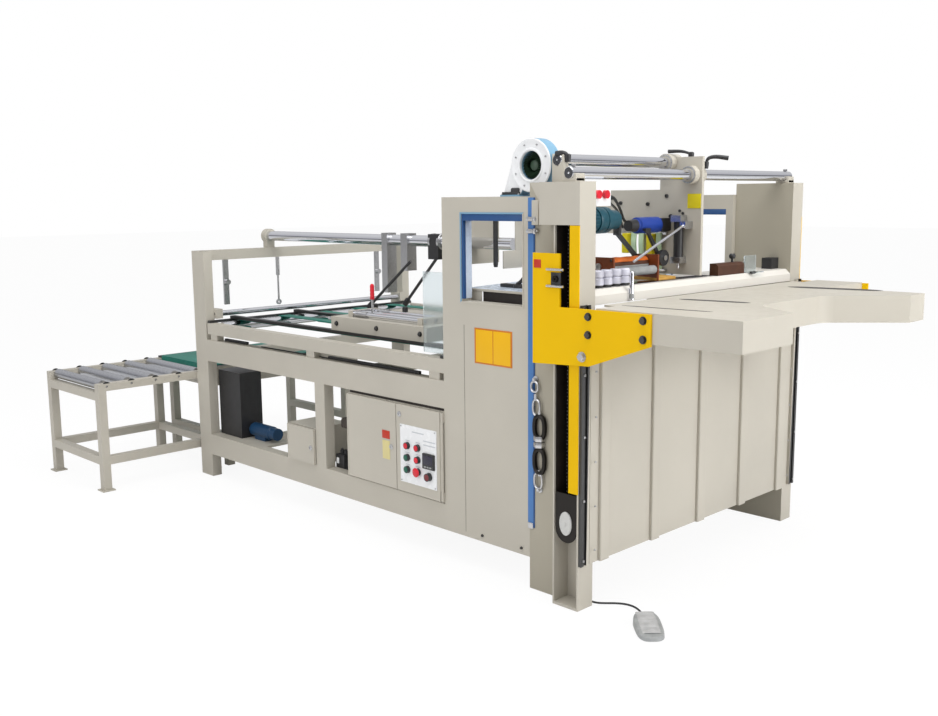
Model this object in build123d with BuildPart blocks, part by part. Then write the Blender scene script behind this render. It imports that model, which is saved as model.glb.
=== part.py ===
"""Semi-automatic carton folding and gluing machine with its outfeed conveyor and roller stand.

Millimetres, +Z up, +X towards the operator's feed table, -Y towards the control cabinet.
The origin is the middle of the sole of the left feed-end column.
"""
import os
from math import atan2, degrees, pi, radians, tan

from build123d import *

os.makedirs("parts", exist_ok=True)

# Overall layout
machine_width = 1460          # over the two feed-end columns
column_height = 1450
frame_length = 2563           # from the columns' feed face to the outfeed posts' outer face
seat = 0.3                    # gap between pieces that touch on different bodies or curved faces
running_gap = 6               # gap kept by everything that moves

# Feed-end columns
channel_width = 112           # along X
channel_depth = 80            # along Y, open to the outside
channel_wall = 6
post_width = 154
post_setback = 53             # channel lip to the face of the post and of the side frame
sole_thickness = 10
head_cover_height = 140
head_cover_sheet = 3

# Lift chain and carriage
chain_wheel_radius = 34
chain_thickness = 12
chain_width = 14
chain_wheel_low = 315
chain_wheel_drop = 80         # column top to the upper wheels' axis
hub_radius = 26
cover_sheet = 4
slot_cover_width = 40
slot_width = 31
slot_cover_low = 413
slot_cover_drop = 141
rail_width = 42
rail_thickness = 12
rail_low = 160
rail_high = 1050
carriage_plate = 8
carriage_low = 844
carriage_high = 1218
carriage_back = 77            # channel face to the rear edge of the carriage plate
slot_foot = 1042
arm_top = 1044
arm_tip_height = 100
arm_reach = 294               # beyond the column
arm_root = 53
guide_block_width = 30
guide_block_length = 140

# Feed table
table_top = 1047
table_depth = 96
table_sheet = 4
table_gap = 75                # column face to the table's rear edge
table_reach = 605
far_lobe_reach = 645
near_lobe_width = 280
recess_back = 414
recess_near = 410
recess_far = 840
far_lobe_inner = 1040
far_lobe_outer = 1160
table_spine = 270

# Side frames, beams and posts
side_low = 116
side_drop = 46                # column top to the side frame's top
side_back = 710               # column face to the side frame's rear edge
side_thickness = 50
window_left = 606
window_right = 300
window_low = 1022
window_drop = 61
frame_tube = 50
frame_wall = 4
upper_beam_low = 600
upper_beam_high = 708
base_beam_high = 220
post_size = 108
post_height = 1150
gantry_bar_size = 50
gantry_arm_length = 233
mid_post_back = 1480
mid_post_size = 70

# Control cabinet
cabinet_left = 1310
cabinet_low = 224
cabinet_high = 588
cabinet_depth = 300
cabinet_sheet = 3
door_sheet = 12
door_gap = 4
door_stand = 1                # door's inner face to the cabinet's edge
hinge_radius = 6
knuckle_length = 40
door_split = 983
panel_width = 214
panel_height = 237
panel_sheet = 3

# Junction box
junction_width = 210
junction_height = 170
junction_depth = 180

# Guard, deck and head
guard_sheet = 3
guard_low = 157
guard_gap = 15
rib_width = 50
rib_height = 12
rib_count = 5
deck_drop = 355
deck_sheet = 10
deck_lip = 50
deck_reach = 200
middle_plate_offset = 730
middle_plate_sheet = 14
middle_plate_length = 456
middle_tab_length = 186
middle_foot_length = 296
shaft_radius = 20
shaft_rise = 28
front_shaft_back = 62
rear_shaft_back = 165
rear_shaft_rise = 46
shaft_block_wall = 14

# Folding and gluing gear between the columns
folding_motor_radius = 42
folding_motor_back = 176
folding_motor_drop = 132
belt_motor_radius = 30
belt_motor_drop = 156
belt_motor_length = 126
pulley_radius = 30
glue_roller_radius = 26
press_roller_radius = 16
bellows_radius = 21
bellows_height = 60
air_cylinder_length = 200
air_cylinder_side = 44
polished_rod_back = 66
polished_rod_reach = 350
polished_rod_high = 199
polished_rod_low = 78
side_guide_length = 190
side_guide_height = 46
stop_box_length = 124
stop_box_height = 76
trim_width = 6
trim_sheet = 2

# Blower
blower_back = 289
blower_radius = 92
blower_eye = 50
blower_width = 50
blower_offset = 31            # side frame's face to the blower's near face
blower_rise = 106
outlet_width = 80
outlet_lean = 44
flange_sheet = 6

# Belt bed
bed_rise = 64                 # upper beam's top to the axis of the belt rollers
bed_rail_height = 55
bed_rail_over = 20            # rail's top over that axis
bed_roller_radius = 24
belt_sheet = 4
belt_width = 60
belt_count = 5
end_roller_radius = 14
end_roller_rise = 62

# Press carriage, the slides under it and the clear cover beside it
slide_plate = 12
slide_bar_height = 14
slide_bar_width = 30
press_back = 956
press_length = 640
press_near = 150
press_width = 420
press_height = 62
press_sheet = 6
lever_radius = 6
knob_radius = 13
knob_offset = 225
cover_length = 146
cover_height = 328

# Drive under the bed
drive_length = 430
drive_depth = 150
gearbox_length = 200
gearbox_height = 330
drive_motor_radius = 34

# Long guide shaft
guide_shaft_radius = 25
guide_shaft_rise = 62         # outfeed post's top to the shaft's axis
guide_shaft_offset = 500      # from the channel's lip
guide_shaft_front = 757       # behind the columns' feed face
support_plate_back = 1002
support_bar = 40
bracket_wall = 12

# Outfeed conveyor and roller stand
stand_reach = 469             # from the channel's lip towards -Y
stand_gap = 21                # between the outfeed posts and the stand
stand_width = 598
stand_top = 540
stand_length = 630
leg_size = 40
leg_wall = 3
stringer_height = 130
stand_rail_depth = 46
roller_radius = 25
roller_count = 5
roller_pitch = 128
conveyor_length = 950

# Foot switch and its cord
switch_length = 176
switch_width = 92
switch_height = 34
cord_radius = 3.5
gland_length = 24

# Derived places
half_channel = channel_width / 2
face_x = half_channel
lip_y = -channel_depth / 2
web_y = channel_depth / 2
side_y = lip_y + post_setback
post_depth = web_y - side_y
mid_y = lip_y + machine_width / 2
post_back_x = -half_channel - post_width
frame_end = face_x - frame_length
beam_start = frame_end + post_size
beam_end = face_x - side_back
side_high = column_height - side_drop
window_high = side_high - window_drop
chain_wheel_high = column_height - chain_wheel_drop
slot_cover_high = column_height - slot_cover_drop
deck_top = column_height - deck_drop
shaft_height = column_height + shaft_rise
middle_y = lip_y + middle_plate_offset
far_side_y = 2 * mid_y - side_y
bed_height = upper_beam_high + bed_rise
bed_rail_high = bed_height + bed_rail_over
bed_rail_low = bed_rail_high - bed_rail_height
guide_shaft_y = lip_y + guide_shaft_offset
guide_shaft_height = post_height + guide_shaft_rise
guard_high = deck_top - deck_lip - guard_gap
stand_near = stand_reach - lip_y
stand_right = stand_gap - frame_end
stand_left = stand_right + stand_width


def back(distance):
    """X of a place that lies this far behind the feed-end face of the columns."""
    return face_x - distance


def plane_y(y):
    """Sketch plane facing -Y whose sketch axes are X and Z."""
    return Plane(origin=(0, y, 0), x_dir=(1, 0, 0), z_dir=(0, -1, 0))


def plane_x(x):
    """Sketch plane facing +X whose sketch axes are Y and Z."""
    return Plane(origin=(x, 0, 0), x_dir=(0, 1, 0), z_dir=(1, 0, 0))


def block(x, y, z, mode=Mode.ADD):
    """Square bar between two corners, each given as low and high along an axis."""
    with Locations(((x[0] + x[1]) / 2, (y[0] + y[1]) / 2, (z[0] + z[1]) / 2)):
        Box(x[1] - x[0], y[1] - y[0], z[1] - z[0], mode=mode)


def tube(axis, x, y, z, wall):
    """Rectangular steel tube, open along the named axis."""
    block(x, y, z)
    inner = {"x": x, "y": y, "z": z}
    for name in inner:
        low, high = inner[name]
        inner[name] = (low - 1, high + 1) if name == axis else (low + wall, high - wall)
    block(inner["x"], inner["y"], inner["z"], mode=Mode.SUBTRACT)


def rod(axis, radius, start, end, centre, mode=Mode.ADD):
    """Round bar along an axis; centre holds its other two coordinates in order."""
    planes = {
        "x": Plane(origin=(start, centre[0], centre[1]), x_dir=(0, 1, 0), z_dir=(1, 0, 0)),
        "y": Plane(origin=(centre[0], start, centre[1]), x_dir=(0, 0, 1), z_dir=(0, 1, 0)),
        "z": Plane(origin=(centre[0], centre[1], start), x_dir=(1, 0, 0), z_dir=(0, 0, 1)),
    }
    with BuildSketch(planes[axis]) as section:
        Circle(radius)
    extrude(section.sketch, amount=end - start, mode=mode)


def flat_arm(start, end, width, x, thickness):
    """Flat arm with round ends between two points of a YZ plane."""
    middle = ((start[0] + end[0]) / 2, (start[1] + end[1]) / 2)
    run = Vector(end[0] - start[0], end[1] - start[1])
    with BuildSketch(plane_x(x)) as section:
        with Locations(Location(middle, degrees(atan2(run.Y, run.X)))):
            SlotCenterToCenter(run.length, width)
    extrude(section.sketch, amount=thickness)


def leaning_rod(start, end, radius):
    """Round bar between two points in space."""
    run = Vector(*end) - Vector(*start)
    with BuildSketch(Plane(origin=start, z_dir=run)) as section:
        Circle(radius)
    extrude(section.sketch, amount=run.length)


def turned(origin, direction, profile):
    """Turned piece; the profile's points are distance along the axis and radius."""
    along = Vector(*direction)
    side = along.cross(Vector(1, 0, 0) if abs(along.Z) > 0.5 else Vector(0, 0, 1))
    with BuildSketch(Plane(origin=origin, x_dir=along, z_dir=side)) as section:
        with BuildLine():
            Polyline((profile[0][0], 0), *profile, (profile[-1][0], 0), close=True)
        make_face()
    revolve(section.sketch, axis=Axis(origin, direction))


def knuckle(axis_x, axis_y, z, wall_y):
    """Fixed hinge knuckle that stands out from a cabinet's front edge."""
    rod("z", hinge_radius, z[0], z[1], (axis_x, axis_y))
    block((axis_x - hinge_radius, axis_x + hinge_radius), (axis_y, wall_y), z)


def hinged_door(axis_x, free_x, y, z):
    """Sheet door with a hinge barrel along its edge, between the two fixed knuckles."""
    axis_y = y[0] + hinge_radius
    inner = (z[0] + knuckle_length, z[1] - knuckle_length)
    side = 1 if free_x > axis_x else -1
    edge = axis_x + side * (hinge_radius + 2)
    block(sorted((edge, free_x)), y, z)
    block(sorted((axis_x, edge)), (axis_y - 3, axis_y + 3), inner)
    rod("z", hinge_radius, inner[0], inner[1], (axis_x, axis_y))


def finish(name, part):
    """Label a finished piece and write it."""
    part.label = name
    export_step(part, f"parts/{name}.step")


def other_side(part):
    """The same piece on the far side of the machine."""
    return mirror(part, about=Plane.XZ.offset(-mid_y))


# Feed-end columns
with BuildPart() as left_column:
    with BuildSketch(Plane.XY):
        Rectangle(channel_width, channel_depth)
        with Locations((0, -channel_wall / 2)):
            Rectangle(channel_width - 2 * channel_wall, channel_depth - channel_wall, mode=Mode.SUBTRACT)
        with Locations((-half_channel - post_width / 2, side_y + post_depth / 2)):
            Rectangle(post_width, post_depth)
            Rectangle(post_width - 2 * channel_wall, post_depth - 2 * channel_wall, mode=Mode.SUBTRACT)
    extrude(amount=column_height)
    with BuildSketch(Plane.XY):
        Rectangle(channel_width, channel_depth)
    extrude(amount=sole_thickness)
    cover_x = (back(174), face_x)
    block(cover_x, (lip_y - head_cover_sheet, lip_y), (column_height - head_cover_height, column_height))
    block(cover_x, (lip_y, side_y + post_depth), (column_height - head_cover_sheet, column_height))
    block((cover_x[0], cover_x[0] + head_cover_sheet), (lip_y, side_y),
          (column_height - head_cover_height, column_height))
finish("left_column", left_column.part)
finish("right_column", other_side(left_column.part))

# Guide rails on the columns' feed faces
with BuildPart() as rail:
    with BuildSketch(Plane.XY.offset(rail_low)):
        with Locations((face_x + rail_thickness / 2, lip_y + 3 + rail_width / 2)):
            Rectangle(rail_thickness, rail_width)
        with Locations((face_x + rail_thickness, lip_y + 3 + rail_width / 2)):
            Rectangle(rail_thickness, rail_width / 3, mode=Mode.SUBTRACT)
    extrude(amount=rail_high - rail_low)
finish("guide_rails", Compound([rail.part, other_side(rail.part)]))

# Yellow covers over the lift slots
with BuildPart() as slot_cover:
    block((face_x - slot_cover_width, face_x), (lip_y - cover_sheet, lip_y), (slot_cover_low, slot_cover_high))
finish("slot_covers", Compound([slot_cover.part, other_side(slot_cover.part)]))

# Lift chains, closed loops round their wheels
chain_y = 8
with BuildPart() as chain:
    with BuildSketch(plane_y(chain_y)):
        with Locations(Location((0, (chain_wheel_low + chain_wheel_high) / 2), 90)):
            SlotCenterToCenter(chain_wheel_high - chain_wheel_low, 2 * chain_wheel_radius + chain_thickness)
            SlotCenterToCenter(chain_wheel_high - chain_wheel_low, 2 * chain_wheel_radius - chain_thickness,
                               mode=Mode.SUBTRACT)
    extrude(amount=-chain_width)
finish("lift_chains", Compound([chain.part, other_side(chain.part)]))

# Chain wheels on their stub shafts, standing on the channel's web
with BuildPart() as wheels:
    for height in (chain_wheel_low, chain_wheel_high):
        rod("y", chain_wheel_radius - chain_thickness / 2 - seat, chain_y + 2, chain_y + chain_width - 2,
            (0, height))
        rod("y", hub_radius, chain_y - 10, chain_y + 2, (0, height))
        rod("y", 10, chain_y + chain_width - 2, web_y - channel_wall, (0, height))
finish("chain_wheels", Compound([wheels.part, other_side(wheels.part)]))

# Lifting carriages
plate_y = lip_y - cover_sheet - running_gap - carriage_plate
carriage_x = -half_channel - carriage_back
slot_left = face_x - slot_cover_width - slot_width
guide_block_x = channel_wall + 2 + running_gap - half_channel
guide_roller_radius = 14
roller_x = face_x + rail_thickness + seat + guide_roller_radius
with BuildPart() as left_carriage:
    with BuildSketch(plane_y(plate_y + carriage_plate)):
        with BuildLine():
            Polyline(
                (carriage_x, carriage_low),
                (carriage_x, carriage_high),
                (slot_left, carriage_high),
                (slot_left, slot_foot),
                (face_x - slot_cover_width, slot_foot),
                (face_x + arm_reach, arm_top),
                (face_x + arm_reach, arm_top - arm_tip_height),
                (face_x + arm_root, carriage_low + 13),
                close=True,
            )
        make_face()
    extrude(amount=carriage_plate)
    block((guide_block_x, guide_block_x + guide_block_width), (plate_y + carriage_plate, chain_y - running_gap),
          (slot_foot - 22 - guide_block_length, slot_foot - 22))
    for height in (carriage_low + 31, arm_top - 50):
        rod("y", guide_roller_radius, plate_y + carriage_plate, lip_y + 40, (roller_x, height))
finish("left_carriage", left_carriage.part)
finish("right_carriage", other_side(left_carriage.part))

# Feed table, a folded sheet tray with two lobes round the operator's standing place
table_near = plate_y + carriage_plate
table_far = 2 * mid_y - table_near
with BuildPart() as feed_table:
    with BuildSketch(Plane.XY.offset(table_top)) as table_outline:
        with BuildLine():
            Polyline(
                (face_x + table_gap, table_near),
                (face_x + table_reach, table_near),
                (face_x + table_reach, lip_y + near_lobe_width),
                (face_x + recess_back, lip_y + recess_near),
                (face_x + recess_back, lip_y + recess_far),
                (face_x + far_lobe_reach, lip_y + far_lobe_inner),
                (face_x + far_lobe_reach, lip_y + far_lobe_outer),
                (face_x + table_spine, lip_y + far_lobe_outer),
                (face_x + table_spine, table_far),
                (face_x + table_gap, table_far),
                close=True,
            )
        make_face()
        inner_corners = table_outline.vertices().sort_by_distance((face_x + recess_back, lip_y + 620))[:2]
        fillet(inner_corners, 90)
    extrude(amount=-table_depth)
    under = feed_table.faces().sort_by(Axis.Z)[0]
    offset(amount=-table_sheet, openings=under)
finish("feed_table", feed_table.part)

# Side frames with their windows
with BuildPart() as side_frame:
    frame_x = (back(side_back), post_back_x - seat)
    block(frame_x, (side_y, side_y + side_thickness), (side_low, side_high))
    block((back(window_left), back(window_right)), (side_y - 1, side_y + side_thickness + 1),
          (window_low, window_high), mode=Mode.SUBTRACT)
finish("left_side_frame", side_frame.part)
finish("right_side_frame", other_side(side_frame.part))

# Long beams of the bed
with BuildPart() as upper_beam:
    tube("x", (beam_start, beam_end), (side_y, side_y + frame_tube), (upper_beam_low, upper_beam_high),
         frame_wall)
finish("upper_beams", Compound([upper_beam.part, other_side(upper_beam.part)]))
with BuildPart() as base_beam:
    tube("x", (beam_start, beam_end), (side_y, side_y + frame_tube), (side_low, base_beam_high), frame_wall)
finish("base_beams", Compound([base_beam.part, other_side(base_beam.part)]))

# Outfeed posts and the bar over them
with BuildPart() as outfeed_post:
    tube("z", (frame_end, beam_start), (side_y, side_y + frame_tube), (0, post_height), frame_wall)
finish("outfeed_posts", Compound([outfeed_post.part, other_side(outfeed_post.part)]))
arm_high = post_height - gantry_bar_size
arm_x = (frame_end + 20, frame_end + 32)
with BuildPart() as gantry_bar:
    tube("y", (frame_end, frame_end + gantry_bar_size),
         (side_y + frame_tube, far_side_y - frame_tube), (arm_high, post_height), frame_wall)
    for y in (guide_shaft_y - 272, 2 * mid_y - guide_shaft_y + 272):
        block(arm_x, (y - 14, y + 14), (arm_high - gantry_arm_length, arm_high))
        rod("x", 14, arm_x[1], arm_x[1] + 18, (y, arm_high - gantry_arm_length / 2))
    rod_y = guide_shaft_y + 47
    rod("z", 10, arm_high - 100, arm_high, (arm_x[0] + 6, rod_y))
    rod("z", 5, arm_high - gantry_arm_length, arm_high - 100, (arm_x[0] + 6, rod_y))
    rod("x", 14, *arm_x, (rod_y, arm_high - gantry_arm_length - 10))
    rod("x", 7, arm_x[0] - 1, arm_x[1] + 1, (rod_y, arm_high - gantry_arm_length - 10), mode=Mode.SUBTRACT)
finish("gantry_bar", gantry_bar.part)

# Posts between the beams
with BuildPart() as mid_post:
    tube("z", (back(mid_post_back + mid_post_size), back(mid_post_back)), (side_y, side_y + frame_tube),
         (base_beam_high, upper_beam_low), frame_wall)
finish("mid_posts", Compound([mid_post.part, other_side(mid_post.part)]))

# Cross members between the two sides
inner_y = (side_y + frame_tube, far_side_y - frame_tube)
with BuildPart() as cross_members:
    for x in (frame_end + post_size + 40, back(mid_post_back + 20), back(side_back + 60)):
        tube("y", (x - 25, x + 25), inner_y, (side_low, side_low + 50), frame_wall)
        tube("y", (x - 25, x + 25), inner_y, (upper_beam_low, upper_beam_low + 50), frame_wall)
finish("cross_members", cross_members.part)

# Control cabinet and its two doors
cabinet_x = (back(cabinet_left), back(side_back + seat))
door_z = (cabinet_low + door_gap, cabinet_high - door_gap)
door_y = (side_y - door_stand - door_sheet, side_y - door_stand)
door_axis_y = door_y[0] + hinge_radius
split_x = back(door_split)
cabinet_axes = (cabinet_x[0] + hinge_radius, cabinet_x[1] - hinge_radius)


def open_box(x, z, depth):
    """Sheet box, open at the machine's side, with hinge knuckles at its given edges."""
    block(x, (side_y, side_y + depth), z)
    block((x[0] + cabinet_sheet, x[1] - cabinet_sheet), (side_y - 1, side_y + depth - cabinet_sheet),
          (z[0] + cabinet_sheet, z[1] - cabinet_sheet), mode=Mode.SUBTRACT)


def door_knuckles(axis_x, z):
    """The two fixed knuckles of one door, clear of the barrel between them."""
    for part_z in ((z[0], z[0] + knuckle_length - seat), (z[1] - knuckle_length + seat, z[1])):
        knuckle(axis_x, door_axis_y, part_z, side_y)


with BuildPart() as control_cabinet:
    open_box(cabinet_x, (cabinet_low, cabinet_high), cabinet_depth)
    for axis_x in cabinet_axes:
        door_knuckles(axis_x, door_z)
finish("control_cabinet", control_cabinet.part)
with BuildPart() as cabinet_door:
    hinged_door(cabinet_axes[0], split_x - door_gap / 2, door_y, door_z)
finish("cabinet_door", cabinet_door.part)
with BuildPart() as control_door:
    hinged_door(cabinet_axes[1], split_x + door_gap / 2, door_y, door_z)
finish("control_door", control_door.part)

# Control panel with its push buttons and display
panel_x = (back(955), back(955) + panel_width)
panel_z = (270, 270 + panel_height)
with BuildPart() as control_panel:
    block(panel_x, (door_y[0] - panel_sheet, door_y[0]), panel_z)
    for row, height in enumerate((424, 375, 326)):
        for column in range(2):
            rod("y", 14, door_y[0] - panel_sheet - 12, door_y[0] - panel_sheet,
                (panel_x[0] + 45 + 62 * column, height))
    block((panel_x[0] + 140, panel_x[0] + 205), (door_y[0] - panel_sheet - 5, door_y[0] - panel_sheet),
          (350, 410))
    rod("y", 16, door_y[0] - panel_sheet - 16, door_y[0] - panel_sheet, (panel_x[0] + 172, 318))
finish("control_panel", control_panel.part)

# Junction box beside the post, with its door
box_x = (back(mid_post_back + mid_post_size + junction_width), back(mid_post_back + mid_post_size))
junction_z = (base_beam_high + door_gap, base_beam_high + junction_height - door_gap)
junction_axis = box_x[0] + hinge_radius
with BuildPart() as junction_box:
    open_box(box_x, (base_beam_high, base_beam_high + junction_height), junction_depth)
    door_knuckles(junction_axis, junction_z)
finish("junction_box", junction_box.part)
with BuildPart() as junction_door:
    hinged_door(junction_axis, box_x[1] - door_gap, door_y, junction_z)
finish("junction_door", junction_door.part)

# Ribbed guard under the feed table
guard_y = (lip_y + 59, lip_y + machine_width - 59)
with BuildPart() as ribbed_guard:
    with BuildSketch(Plane.XY.offset(guard_low)):
        with Locations((face_x + guard_sheet / 2, mid_y)):
            Rectangle(guard_sheet, guard_y[1] - guard_y[0])
        for rib in range(rib_count):
            y = lip_y + 130 + rib * (machine_width - 2 * 130) / (rib_count - 1)
            with Locations((face_x + guard_sheet / 2 + rib_height / 2, y)):
                RectangleRounded(rib_height + guard_sheet, rib_width, 5)
    extrude(amount=guard_high - guard_low)
finish("ribbed_guard", ribbed_guard.part)

# White feed deck with its turned-down lip
deck_y = (web_y + seat, 2 * mid_y - web_y - seat)
with BuildPart() as feed_deck:
    with BuildSketch(plane_y(deck_y[0])):
        with BuildLine():
            Polyline(
                (back(deck_reach), deck_top), (face_x - 20, deck_top), (face_x, deck_top - 20),
                (face_x, deck_top - deck_lip), (face_x - deck_sheet, deck_top - deck_lip),
                (face_x - deck_sheet, deck_top - deck_lip + 20), (face_x - 30, deck_top - deck_sheet),
                (back(deck_reach), deck_top - deck_sheet), close=True,
            )
        make_face()
    extrude(amount=-(deck_y[1] - deck_y[0]))
finish("feed_deck", feed_deck.part)

# Cross shafts over the head and the blocks that hold their ends
shaft_y = (lip_y + 2, 2 * mid_y - lip_y - 2)
shaft_places = ((back(front_shaft_back), shaft_height), (back(rear_shaft_back), shaft_height + rear_shaft_rise))
with BuildPart() as head_shafts:
    for x, z in shaft_places:
        rod("y", shaft_radius, shaft_y[0], shaft_y[1], (x, z))
finish("head_shafts", head_shafts.part)
with BuildPart() as shaft_block:
    for x, z in shaft_places:
        block((x - shaft_radius - shaft_block_wall, x + shaft_radius + shaft_block_wall), (lip_y + 14, web_y),
              (column_height, z + shaft_radius + shaft_block_wall))
    for x, z in shaft_places:
        rod("y", shaft_radius, lip_y, web_y + 1, (x, z), mode=Mode.SUBTRACT)
finish("shaft_blocks", Compound([shaft_block.part, other_side(shaft_block.part)]))

# Middle plate that slides along the cross shafts
hub_length = 30
plate_low = deck_top + 10
plate_step = deck_top + 160
plate_shoulder = column_height - 25
plate_high = column_height + 95
with BuildPart() as middle_plate:
    with BuildSketch(plane_y(middle_y)) as plate_outline:
        with BuildLine():
            Polyline(
                (back(20), plate_low), (back(20), plate_high), (back(20 + middle_tab_length), plate_high),
                (back(20 + middle_tab_length), plate_shoulder), (back(middle_plate_length), plate_shoulder),
                (back(middle_plate_length), plate_step), (back(middle_foot_length), plate_step),
                (back(middle_foot_length), plate_low), close=True,
            )
        make_face()
        fillet(plate_outline.vertices().filter_by(lambda corner: corner.Z > plate_low + 1), 14)
    extrude(amount=-middle_plate_sheet)
    for x, z in shaft_places:
        rod("y", shaft_radius + shaft_block_wall, middle_y - hub_length,
            middle_y + middle_plate_sheet + hub_length, (x, z))
    for x, z in shaft_places:
        rod("y", shaft_radius + 0.05, middle_y - hub_length - 1, middle_y + middle_plate_sheet + hub_length + 1,
            (x, z), mode=Mode.SUBTRACT)
finish("middle_plate", middle_plate.part)

# Folding motor on the left post, and the arm it turns
folding_motor_x = back(folding_motor_back)
folding_motor_z = column_height - folding_motor_drop
folding_motor_end = middle_y - belt_motor_length - 184
flange_half = folding_motor_radius + 12
with BuildPart() as folding_motor:
    block((folding_motor_x - flange_half, folding_motor_x + flange_half), (web_y, web_y + 14),
          (folding_motor_z - flange_half, folding_motor_z + flange_half))
    length, radius = folding_motor_end - web_y, folding_motor_radius
    turned((folding_motor_x, web_y + 14, folding_motor_z), (0, 1, 0), (
        (0, radius), (length - 110, radius), (length - 110, radius + 5), (length - 84, radius + 5),
        (length - 72, radius - 6), (length - 26, radius - 8), (length - 14, radius - 20),
    ))
finish("folding_motor", folding_motor.part)
arm_root_z = folding_motor_z - 48
with BuildPart() as folding_arm:
    block((folding_motor_x - 14, folding_motor_x + 14), (folding_motor_end, folding_motor_end + 12),
          (arm_root_z - 8, folding_motor_z + 18))
    flat_arm((folding_motor_end + 6, arm_root_z), (middle_y - 159, deck_top + 63), 16, folding_motor_x - 6, 10)
    rod("x", 11, folding_motor_x - 6, folding_motor_x + 12, (middle_y - 159, deck_top + 63))
finish("folding_arm", folding_arm.part)

# Glue rollers between two end plates on the deck
glue_y = (middle_y - 446, middle_y - 190)
with BuildPart() as glue_rollers:
    for y in ((glue_y[0] - 8, glue_y[0]), (glue_y[1], glue_y[1] + 8)):
        block((back(170), back(76)), y, (deck_top, deck_top + 95))
    rod("y", glue_roller_radius, glue_y[0] + 4, glue_y[1] - 4, (back(140), deck_top + 62))
    rod("y", 8, *glue_y, (back(140), deck_top + 62))
    rod("y", press_roller_radius, glue_y[0] + 4, glue_y[1] - 4, (back(92), deck_top + 40))
    rod("y", 6, *glue_y, (back(92), deck_top + 40))
finish("glue_rollers", glue_rollers.part)

# Suction bellows along the deck's front edge
with BuildPart() as suction_bellows:
    for y in (112, 160, 210, 258):
        waist = bellows_height / 2
        turned((back(48), y, deck_top), (0, 0, 1), (
            (0, bellows_radius - 3), (10, bellows_radius - 3), (10, bellows_radius), (waist, bellows_radius),
            (waist + 4, bellows_radius - 4), (waist + 8, bellows_radius), (bellows_height - 4, bellows_radius),
            (bellows_height, bellows_radius - 4),
        ))
finish("suction_bellows", suction_bellows.part)

# Belt drive on the middle plate: motor, bracket, arm and pulley
belt_motor_z = column_height - belt_motor_drop
belt_motor_y = middle_y - belt_motor_length - 64
pulley_place = (middle_y - 92, deck_top + 77)
with BuildPart() as belt_drive:
    block((folding_motor_x - 24, folding_motor_x + 24), (belt_motor_y + belt_motor_length, middle_y),
          (belt_motor_z - 24, belt_motor_z + 24))
    turned((folding_motor_x, belt_motor_y - 50, belt_motor_z), (0, 1, 0), (
        (0, belt_motor_radius - 10), (46, belt_motor_radius - 6), (50, belt_motor_radius),
        (50 + belt_motor_length, belt_motor_radius),
    ))
    block((folding_motor_x, folding_motor_x + 42), (belt_motor_y + 2, belt_motor_y + 34),
          (belt_motor_z - 28, belt_motor_z - 10))
    flat_arm((belt_motor_y + 18, belt_motor_z - 18), pulley_place, 14, folding_motor_x + 32, 10)
    rod("x", 10, folding_motor_x + 42, folding_motor_x + 66, pulley_place)
    rod("x", pulley_radius, folding_motor_x + 46, folding_motor_x + 60, pulley_place)
finish("belt_drive", belt_drive.part)

# Air cylinder and polished rod on the middle plate
air_x = back(103)
air_low = deck_top + 34
air_high = air_low + air_cylinder_length
half_side = air_cylinder_side / 2
with BuildPart() as air_cylinder:
    for z in ((air_low + 20, air_low + 44), (air_high - 24, air_high)):
        block((air_x - half_side, air_x + half_side), (middle_y - air_cylinder_side, middle_y), z)
    rod("z", half_side - 4, air_low + 44, air_high - 24, (air_x, middle_y - half_side))
    rod("z", 6, air_low, air_low + 20, (air_x, middle_y - half_side))
    rod_high = deck_top + polished_rod_high
    block((back(polished_rod_back + 14), back(polished_rod_back - 10)), (middle_y - 50, middle_y),
          (rod_high - 15, rod_high + 13))
    leaning_rod((back(polished_rod_back), middle_y - 40, rod_high),
                (back(polished_rod_back), middle_y - polished_rod_reach, deck_top + polished_rod_low), 5)
finish("air_cylinder", air_cylinder.part)

# Side guide and its end stop at the far side of the deck
guide_y = (middle_y + 130, middle_y + 130 + side_guide_length)
with BuildPart() as side_guide:
    with BuildSketch(plane_y(guide_y[0])):
        with BuildLine():
            Polyline((back(60), deck_top), (back(22), deck_top), (back(22), deck_top + side_guide_height - 10),
                     (back(32), deck_top + side_guide_height), (back(60), deck_top + side_guide_height),
                     close=True)
        make_face()
    extrude(amount=-side_guide_length)
    turned((back(42), guide_y[0] + 132, deck_top + side_guide_height), (0, 0, 1), (
        (0, 5), (14, 5), (14, 10), (20, knob_radius), (28, knob_radius), (34, 8)))
with BuildPart() as end_stop:
    block((back(102), back(56)), (deck_y[1] - 56, deck_y[1]), (deck_top, deck_top + side_guide_height))
finish("side_guide", Compound([side_guide.part, end_stop.part]))

# Stop box on the left column's inner face
stop_z = (column_height - 4 - stop_box_height, column_height - 4)
with BuildPart() as stop_box:
    block((back(96), back(36)), (web_y, web_y + stop_box_length), stop_z)
    for y in (50, 92):
        rod("x", 14, back(36), back(24), (web_y + y, (stop_z[0] + stop_z[1]) / 2))
finish("stop_box", stop_box.part)

# Light blue edges round the windows and along the side frames
with BuildPart() as window_trim:
    trim_y = (side_y - trim_sheet, side_y)
    window_x = (back(window_left), back(window_right))
    block((window_x[0] - trim_width, window_x[1] + trim_width), trim_y,
          (window_low - trim_width, window_high + trim_width))
    block(window_x, (trim_y[0] - 1, trim_y[1] + 1), (window_low, window_high), mode=Mode.SUBTRACT)
with BuildPart() as edge_trim:
    block((post_back_x - seat - trim_width, post_back_x - seat), trim_y, (side_low + 120, side_high - 20))
finish("window_trims", Compound([window_trim.part, edge_trim.part, other_side(window_trim.part),
                                 other_side(edge_trim.part)]))

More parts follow.
